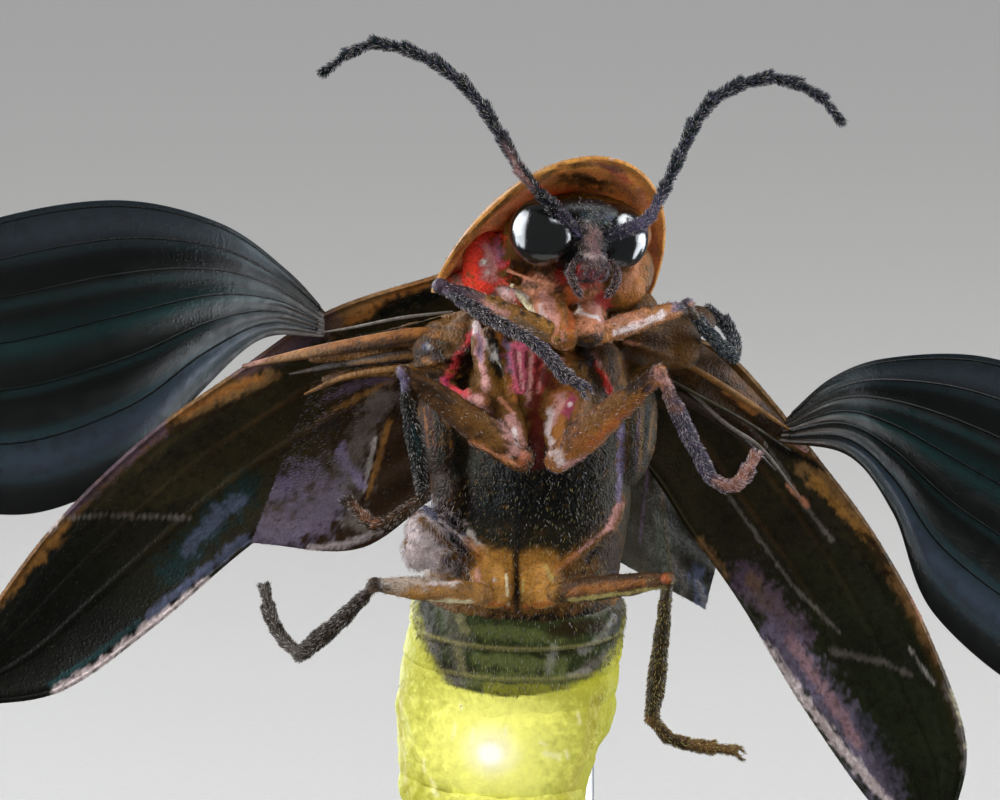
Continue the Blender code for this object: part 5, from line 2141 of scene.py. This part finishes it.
# %% Wing stalks
STALKS = {
    "left": (
        ((452, 312, -0.50), (400, 318, -0.30), (350, 328, 0.00), (318, 333, 0.25),
         (0.030, 0.022, 0.9, "ash")),
        ((456, 333, -0.45), (395, 339, -0.25), (325, 350, 0.35), (244, 366, 1.40),
         (0.16, 0.10, 0.4, "brown")),
        ((452, 352, -0.40), (395, 357, -0.20), (345, 364, 0.35), (290, 374, 1.20),
         (0.11, 0.06, 0.4, "umber")),
        ((445, 367, -0.35), (400, 368, -0.25), (345, 377, 0.30), (305, 394, 1.00),
         (0.06, 0.05, 0.6, "ochre")),
    ),
    "right": (
        ((640, 338, -0.30), (690, 366, 0.00), (745, 402, 0.45), (806, 450, 1.50),
         (0.20, 0.13, 0.4, "brown")),
        ((648, 346, -0.45), (700, 372, -0.18), (745, 400, 0.30), (790, 430, 0.80),
         (0.06, 0.05, 0.8, "ochre")),
        ((655, 372, -0.30), (703, 398, 0.00), (750, 424, 0.45), (790, 450, 1.20),
         (0.035, 0.028, 0.9, "bronze")),
        ((690, 392, 0.00), (726, 424, 0.30), (762, 449, 0.70), (800, 498, 1.50),
         (0.04, 0.03, 0.9, "ash")),
        ((660, 384, -0.20), (700, 408, 0.10), (740, 436, 0.55), (775, 470, 1.40),
         (0.09, 0.05, 0.4, "umber")),
    ),
}
# The blush strokes at the outer ends of the stalks are painted highlights.
STALK_STROKES = {
    "left": strokes("""
4 amber 0.7: 445,326 350,340 250,362
2 umber 0.9: 440,338 340,352
3 honey 0.7: 330,348 250,366
2 ochre 0.7: 436,352 350,364
4 blush 0.4: 262,360 240,368
"""),
    "right": strokes("""
4 amber 0.8: 660,352 720,390 790,438
2 umber 0.9: 680,368 740,406
3 honey 0.6: 730,388 780,425
4 blush 0.5: 795,446 806,452
"""),
}


def make_stalk(name, row):
    """A stalk from a row of the table: its places, then its two radii, flatness and colour."""
    *places, (start, end, flat, colour) = row
    route = smooth_curve([pixel(*place) for place in places], 24)
    return paint(limb(name, route, (start * 0.8, start, (start + end) / 2, end, end * 0.4), flat), colour)


for side, rows in STALKS.items():
    stalk = joined("wing_stalk_" + side, [make_stalk(f"stalk_{k}", row) for k, row in enumerate(rows)])
    soften(stalk, 1)
    paint(stalk, None, STALK_STROKES[side], sight(stalk))
    dress(stalk, VEIN, "amber_horn")
    print(stalk.name, "stalks:", len(rows))

# %% [markdown]
# ## The small shield
# Between the roots of the wing cases lies a small shield, the scutellum: an egg cut flat on its
# underside.

# %% Scutellum
SHIELD_SIZE = (0.48, 0.24, 0.53)
SHIELD_ALONG = 1.15
SHIELD_MIDDLE = 1.02
SHIELD_CUT = 0.86
shield_at = on_trunk(SHIELD_ALONG, 0.0, SHIELD_MIDDLE)
shield = ball("scutellum_shield", shield_at, SHIELD_SIZE, TIP @ TRUNK, 32, 24)
edit_all(shield)
bpy.ops.mesh.bisect(plane_co=on_trunk(SHIELD_ALONG, 0.0, SHIELD_CUT), plane_no=TIP @ TRUNK.col[1],
                    clear_inner=True, use_fill=True)
leave_edit()
paint(shield, "brown")
dress(shield, LIMB, "amber_horn", "scutellum")
print("scutellum points:", len(shield.data.vertices))

# %% [markdown]
# ## The stand
# The display stand is a painted disc with a softened edge and a shallow groove round its top, a thin
# felt foot, and a steel rod that rises behind the insect and bends in to its back. The rod is one
# tube along a route with a rounded corner, so it stays equally thick through the bend.

# %% Stand
BASE_RADIUS = 8.0
BASE_HEIGHT = 2.0
BASE_EDGE = 0.35
GROOVE = ((0.9, 0.0), (0.12, 0.0), (0.06, -0.06), (0.12, 0.0), (0.06, 0.06))
FELT = 0.25
FELT_INSET = 0.15
ROD_RADIUS = 0.45
ROD_SIDE_DEPTH = 3.1
ROD_BACK_ALONG = -1.35
ROD_BEND = 1.8
ROD_END_BACK = 1.12
ROD_SUNK = 0.1
COLLAR_RADIUS = 0.95
COLLAR_HEIGHT = 0.7
COLLAR_MIDDLE = 0.3
COLLAR_EDGE = 0.12


def turned_disc(name, radius, low, high, edge):
    """A disc from a cylinder whose rims are bevelled and whose top carries one shallow groove."""
    let_go()
    bpy.ops.mesh.primitive_cylinder_add(vertices=128, radius=radius * MM, depth=(high - low) * MM,
                                        location=(0, 0, (low + high) / 2 * MM))
    disc = bpy.context.object
    finish_with(disc, "BEVEL", width=edge * MM, segments=5, limit_method="ANGLE")
    take(disc)
    for face in disc.data.polygons:
        face.select = face.normal.z > 0.99 and face.area > (radius * MM) ** 2
    bpy.ops.object.mode_set(mode="EDIT")
    bpy.ops.mesh.select_mode(type="FACE")
    for inwards, upwards in GROOVE:
        bpy.ops.mesh.inset(thickness=inwards * MM, depth=upwards * MM)
    leave_edit()
    return settle(disc, name, 30)


base = turned_disc("base_disc", BASE_RADIUS, FELT, BASE_HEIGHT, BASE_EDGE)
dress(base, PAINTED, "stand_paint", "stand_base")
felt = turned_disc("base_felt", BASE_RADIUS - FELT_INSET, 0.0, FELT, 0.05)
dress(felt, FELT_CLOTH, "stand_paint")

rod_back = TIP @ TRUNK.col[1]
touch_point = on_trunk(ROD_BACK_ALONG, 0.0, ROD_END_BACK) / MM
corner = touch_point + rod_back * ((ROD_SIDE_DEPTH - touch_point.y) / rod_back.y)
upright = corner - Vector((0, 0, ROD_BEND))
inward = corner - rod_back * ROD_BEND
foot_point = Vector((corner.x, corner.y, BASE_HEIGHT - ROD_SUNK))
collar_at = (foot_point.x * MM, foot_point.y * MM, (BASE_HEIGHT + COLLAR_MIDDLE) * MM)
bend = [upright.lerp(corner, f).lerp(corner.lerp(inward, f), f) for f in np.linspace(0, 1, 25)]
rod_route = [foot_point * MM] + [p * MM for p in bend] + [touch_point * MM]
rod = limb("rod_bent", rod_route, (ROD_RADIUS, ROD_RADIUS), roundness=14, open_ends=True)
let_go()
bpy.ops.mesh.primitive_cylinder_add(vertices=48, radius=COLLAR_RADIUS * MM, depth=COLLAR_HEIGHT * MM,
                                    location=collar_at)
collar = bpy.context.object
finish_with(collar, "BEVEL", width=COLLAR_EDGE * MM, segments=4, limit_method="ANGLE")
rod = joined("rod", [rod, settle(collar, "collar", 30)])
dress(rod, STEEL, "stand_steel", "stand_rod")
print("stand base:", BASE_RADIUS * 2, "mm across")

# %% [markdown]
# ## Hair
# Everything on a firefly carries short stiff hairs that lie towards the tip of the part they grow on.
# They are solid spines: three-sided, bent once, sharp at the end. Roots are drawn over the skin's own
# triangles by their area, thinned out where the coat is thin. A spine takes the skin's colour at its
# root mixed with its own, and its corners are mapped to a small patch at the root's place on an unwrap
# of the skin. So the coat carries the same markings as the skin, and keeps them wherever it is shown.

# %% Grow a coat on a skin
PATCH = 0.003
BAKE_MAP = "OFBake"
SPINE_TURNS = (90, 210, 330)
SPINE_POINTS = 7
SPINE_QUADS = ([0, 1, 4, 3], [1, 2, 5, 4], [2, 0, 3, 5])
SPINE_CAPS = ([3, 4, 6], [4, 5, 6], [5, 3, 6])
SPINE_MAP = ((0, 0), (1, 0), (0.5, 1), (0, 0.5), (1, 0.5), (0.5, 0.8), (0.5, 0.5))
LIGHTNESS = (0.3, 0.6, 0.1)


def unwrap(skin):
    """The skin's own unwrap as one pair of numbers for each corner of its triangles."""
    skin.data.uv_layers.new(name="roots")
    edit_all(skin)
    bpy.ops.uv.smart_project(angle_limit=math.radians(66), island_margin=0.002)
    leave_edit()
    layer = skin.data.uv_layers["roots"]
    values = np.empty(len(skin.data.loops) * 2)
    layer.uv.foreach_get("vector", values)
    skin.data.uv_layers.remove(layer)
    return values.reshape(-1, 2)


def flow(*routes):
    """The way a coat lies: along the nearest stretch of the routes."""
    middles = []
    aheads = []
    for route in routes:
        for a, b in zip(route, route[1:]):
            middles.append((a + b) / 2)
            aheads.append((b - a).normalized())
    middles = np.array(middles)
    aheads = np.array(aheads)

    def lie(places):
        nearest = np.argmin(((places[:, None, :] - middles[None]) ** 2).sum(axis=2), axis=1)
        return aheads[nearest]
    return lie


def one_way(direction):
    """A coat that lies the same way everywhere."""
    def lie(places):
        return np.tile(np.array(direction), (len(places), 1))
    return lie


def unit(rows):
    return rows / np.maximum(np.linalg.norm(rows, axis=1), 1e-12)[:, None]


def brightness(tints):
    return tints @ np.array(LIGHTNESS)


# %% [markdown]
# ## Plant, shape and colour the spines
# A coat is made in four steps: roots on the skin, the points of each spine, one mesh of them all with
# its map, and a colour for each spine. All random draws come from one seed for each coat.

# %% From roots to a finished coat
def plant(skin, count, where, draw):
    """Roots on a skin: their places, outward directions, places on the unwrap, and colours."""
    roots_map = unwrap(skin)
    mesh = skin.data
    mesh.calc_loop_triangles()
    triangles = len(mesh.loop_triangles)
    points = np.empty(triangles * 3, dtype=int)
    loops = np.empty(triangles * 3, dtype=int)
    areas = np.empty(triangles)
    mesh.loop_triangles.foreach_get("vertices", points)
    mesh.loop_triangles.foreach_get("loops", loops)
    mesh.loop_triangles.foreach_get("area", areas)
    points = points.reshape(-1, 3)
    loops = loops.reshape(-1, 3)
    places = corners(skin)
    tints = get_tints(skin)
    if where:
        areas = areas * where(places[points].mean(axis=1), tints[points].mean(axis=1))
    chosen = draw.choice(triangles, count, p=areas / areas.sum())
    a, b = draw.random(count), draw.random(count)
    fold = a + b > 1
    a, b = np.where(fold, 1 - a, a), np.where(fold, 1 - b, b)
    shares = np.stack([1 - a - b, a, b], axis=1)[:, :, None]
    root = (places[points[chosen]] * shares).sum(axis=1)
    up = unit((normals_of(skin)[points[chosen]] * shares).sum(axis=1))
    at = (roots_map[loops[chosen]] * shares).sum(axis=1)
    tint = (tints[points[chosen]] * shares).sum(axis=1)
    return root, up, at, tint


def spine_points(root, up, way, length, width, lift, draw):
    """The seven points of each spine: three at the root, three at the bend and the tip."""
    count = len(root)
    side = np.cross(up, way)
    reach = length * MM * draw.uniform(0.6, 1.25, count)[:, None]
    rise = lift * draw.uniform(0.6, 1.4, count)[:, None]
    half = width * MM / 2 * draw.uniform(0.8, 1.2, count)[:, None]
    middle = root + (way * 0.55 + up * rise * 0.8) * reach
    rows = []
    for centre, radius in ((root - up * half, half), (middle, half * 0.7)):
        for turn in SPINE_TURNS:
            t = math.radians(turn)
            rows.append(centre + side * radius * math.cos(t) + up * radius * math.sin(t))
    rows.append(root + (way + up * rise) * reach)
    return np.stack(rows, axis=1).reshape(-1, 3)


def spine_mesh(name, spines, at):
    """One mesh of all the spines, each mapped to a small patch at its root."""
    starts = np.arange(len(at))[:, None] * SPINE_POINTS
    faces = []
    for face in SPINE_QUADS + SPINE_CAPS:
        faces += [list(f) for f in starts + face]
    mesh = bpy.data.meshes.new(name)
    mesh.from_pydata(spines.tolist(), [], faces)
    spots = (at[:, None, :] + np.array(SPINE_MAP)[None] * PATCH - PATCH / 2).reshape(-1, 2)
    corner_points = np.empty(len(mesh.loops), dtype=int)
    mesh.loops.foreach_get("vertex_index", corner_points)
    mesh.uv_layers.new(name=BAKE_MAP).uv.foreach_set("vector", spots[corner_points].ravel())
    mesh.shade_smooth()
    return mesh


def grow(name, skin, count, length, width, lie, palette, share, seed, where=None, lift=0.45, wander=0.5):
    """A coat of count spines, of a length and width in millimetres. Each spine has the skin's colour
    mixed with up to a share of one of the palette's."""
    draw = np.random.default_rng(seed)
    root, up, at, tint = plant(skin, count, where, draw)
    way = lie(root) + draw.normal(0, wander * 0.5, (count, 3))
    way = unit(way - up * (way * up).sum(axis=1)[:, None])
    spines = spine_points(root, up, way, length, width, lift, draw)
    coat = bpy.data.objects.new(name, spine_mesh(name, spines, at))
    bpy.context.scene.collection.objects.link(coat)
    shine = draw.uniform(0.7, 1.3, count)[:, None]
    mix = share * draw.random(count)[:, None] ** 0.8
    dyes = np.array([COLOURS[colour] for colour in palette])[draw.integers(len(palette), size=count)]
    own = (tint * (1 - mix) + dyes * mix) * shine
    put_tints(coat, np.repeat(np.clip(own, 0, 1), SPINE_POINTS, axis=0))
    dress(coat, HAIR, skin["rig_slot"])
    print(name, "spines:", count)


# %% [markdown]
# ## The coats of the limbs
# Shins, feet and feelers are densely furred, in colours that run from nearly black to pale violet and
# blue greys. The thighs carry only a few hairs. Each coat follows the line of its own limb, so a hair
# lies towards the foot or the feeler's tip.

# %% Coats of legs and feelers
LEG_COATS = {
    "fore_left": (("night", "slate", "lilac", "silver", "pearl"), 8000),
    "fore_right": (("night", "sea", "grey_blue", "silver"), 7000),
    "mid_left": (("night", "night", "sea", "silver"), 8000),
    "mid_right": (("night", "night", "slate", "lilac", "silver", "pearl"), 10000),
    "hind_left": (("night", "umber", "ash", "silver"), 8000),
    "hind_right": (("night", "bronze", "honey", "straw"), 7000),
}
FEELER_DYES = {"left": ("night", "night", "sea", "teal", "lilac", "silver"),
               "right": ("night", "sea", "teal", "grey_blue", "lilac", "silver")}
PALP_DYES = ("silver", "lilac", "umber", "blush")
THIGH_SHARE = 0.09
THIGH_REACH = 0.28
for seed, (name, (palette, count)) in enumerate(LEG_COATS.items()):
    line = [shown(*p) for p in LEGS[name]]
    thigh = (np.array(line[0]), np.array(line[1]))

    def shin_first(places, tints, thigh=thigh):
        return np.where(away_from(places, thigh) < THIGH_REACH * MM, THIGH_SHARE, 1.0)

    grow("coat_leg_" + name, legs[name], count, 0.055, 0.010, flow(line), palette, 1.0, 20 + seed,
         shin_first, wander=0.7)
for seed, side in enumerate(FEELERS):
    line = along_route([shown(*p) for p in FEELERS[side]], JOINT_SHARES)
    grow("coat_feeler_" + side, feelers[side], 9000, 0.060, 0.010, flow(line), FEELER_DYES[side], 1.0,
         30 + seed, lift=0.6, wander=0.9)
for seed, side in enumerate(palps):
    line = [pixel(x, y, depth) for (x, y), depth in PALPS[side]]
    grow("coat_palp_" + side, palps[side], 900, 0.040, 0.008, flow(line), PALP_DYES, 1.0, 36 + seed,
         lift=0.5, wander=0.9)

# %% [markdown]
# ## The coats of the body
# The breastplate has a golden grey pile, thickest on the right, and the belly rings shine silver. The
# pale swelling beside the left middle hip is white with longer hairs, the face has a tuft from between
# the eyes down to the mouth, and the hood a thin golden down. These coats lie towards the tail, and
# the face's down the head. Where each one grows is told by the place and colour of the skin.

# %% Coats of trunk, head and hood
TAIL_WARD = -(TIP @ TRUNK.col[2])
HEAD_DOWN = -(TIP @ HEAD_FRAME.col[2])
BARE_SHARE = 0.003
NEVER_NONE = 1e-6
PLATE_TOP = np.array(pixel(520, 462))
LUMP = [np.array(pixel(x, y)) for x, y in ((432, 525), (415, 552), (424, 568), (440, 558))]


def breastplate(places, tints):
    """Dense on the breastplate, most of all on its right half, and very thin elsewhere."""
    below = (PLATE_TOP - places) @ np.array(TIP.col[2]) / MM
    rightwards = (places - PLATE_TOP) @ np.array(TIP.col[0]) / MM
    on_plate = ease(below, 0.0, 0.3) * ease(np.abs(rightwards - 0.08), 1.40, 1.15)
    return BARE_SHARE + on_plate * (0.45 + 0.55 * ease(rightwards, 0.0, 0.8))


def by_brightness(places, tints):
    """Dense on pale places, and none where the skin is as yellow as the lantern."""
    yellow = tints[:, 1] - tints[:, 2] * 2
    return (0.12 + 2.5 * brightness(tints)) * ease(yellow, 0.25, 0.10) + NEVER_NONE


def lump_only(places, tints):
    return ease(away_from(places, LUMP), 0.62 * MM, 0.40 * MM) + NEVER_NONE


def face_only(places, tints):
    gap = away_from(places, (on_head(0, -0.6, 0.15), on_head(0, -0.6, -0.6)))
    return np.exp(-(gap / (0.26 * MM)) ** 2)


to_tail = one_way(TAIL_WARD)
grow("coat_chest", chest, 6000, 0.055, 0.008, to_tail, ("night", "bronze", "straw", "silver"), 1.0, 40,
     breastplate, lift=0.4, wander=0.8)
grow("coat_lump", chest, 2500, 0.10, 0.009, to_tail, ("silver", "pearl", "lilac"), 1.0, 44, lump_only,
     lift=0.4, wander=1.0)
grow("coat_belly", belly, 13000, 0.070, 0.009, to_tail, ("silver", "ash", "straw", "moss"), 0.9, 41,
     by_brightness, lift=0.3)
grow("coat_head", head, 3000, 0.055, 0.008, one_way(HEAD_DOWN), ("silver", "lilac", "umber", "ash"), 1.0, 42,
     face_only, lift=0.5, wander=0.9)
grow("coat_hood", hood, 5000, 0.045, 0.008, to_tail, ("gold", "ochre", "pearl"), 0.6, 43, lift=0.4)

# %% [markdown]
# ## The coats of the wings
# On the wing cases the pile is so short that it only dulls the shell and whitens its edges. The lobes
# of the flying wings carry a still thinner down that lies nearly flat, mostly on their pale parts.

# %% Coats of wing cases and lobes
LOBE_DYES = ("ash", "lilac", "slate")


def thin_pile(places, tints):
    return 0.02 + 3 * brightness(tints)


for seed, side in enumerate(cases):
    line = [shown(*CASES[side][0][k]) for k in (0, 3, 6)]
    grow("coat_case_" + side, cases[side], 14500, 0.045, 0.008, flow(line), ("bronze", "umber", "ash"), 0.5,
         50 + seed, by_brightness, lift=0.35)
    grow("coat_lobe_" + side, lobes[side], 7000, 0.060, 0.008, flow(line), LOBE_DYES, 0.5, 60 + seed,
         thin_pile, lift=0.15, wander=0.3)

# %% [markdown]
# ## The end
# The last step lets go of everything that is selected. The visual model has to stay in
# the box of the imported one.

# %% Let go and finish
let_go()
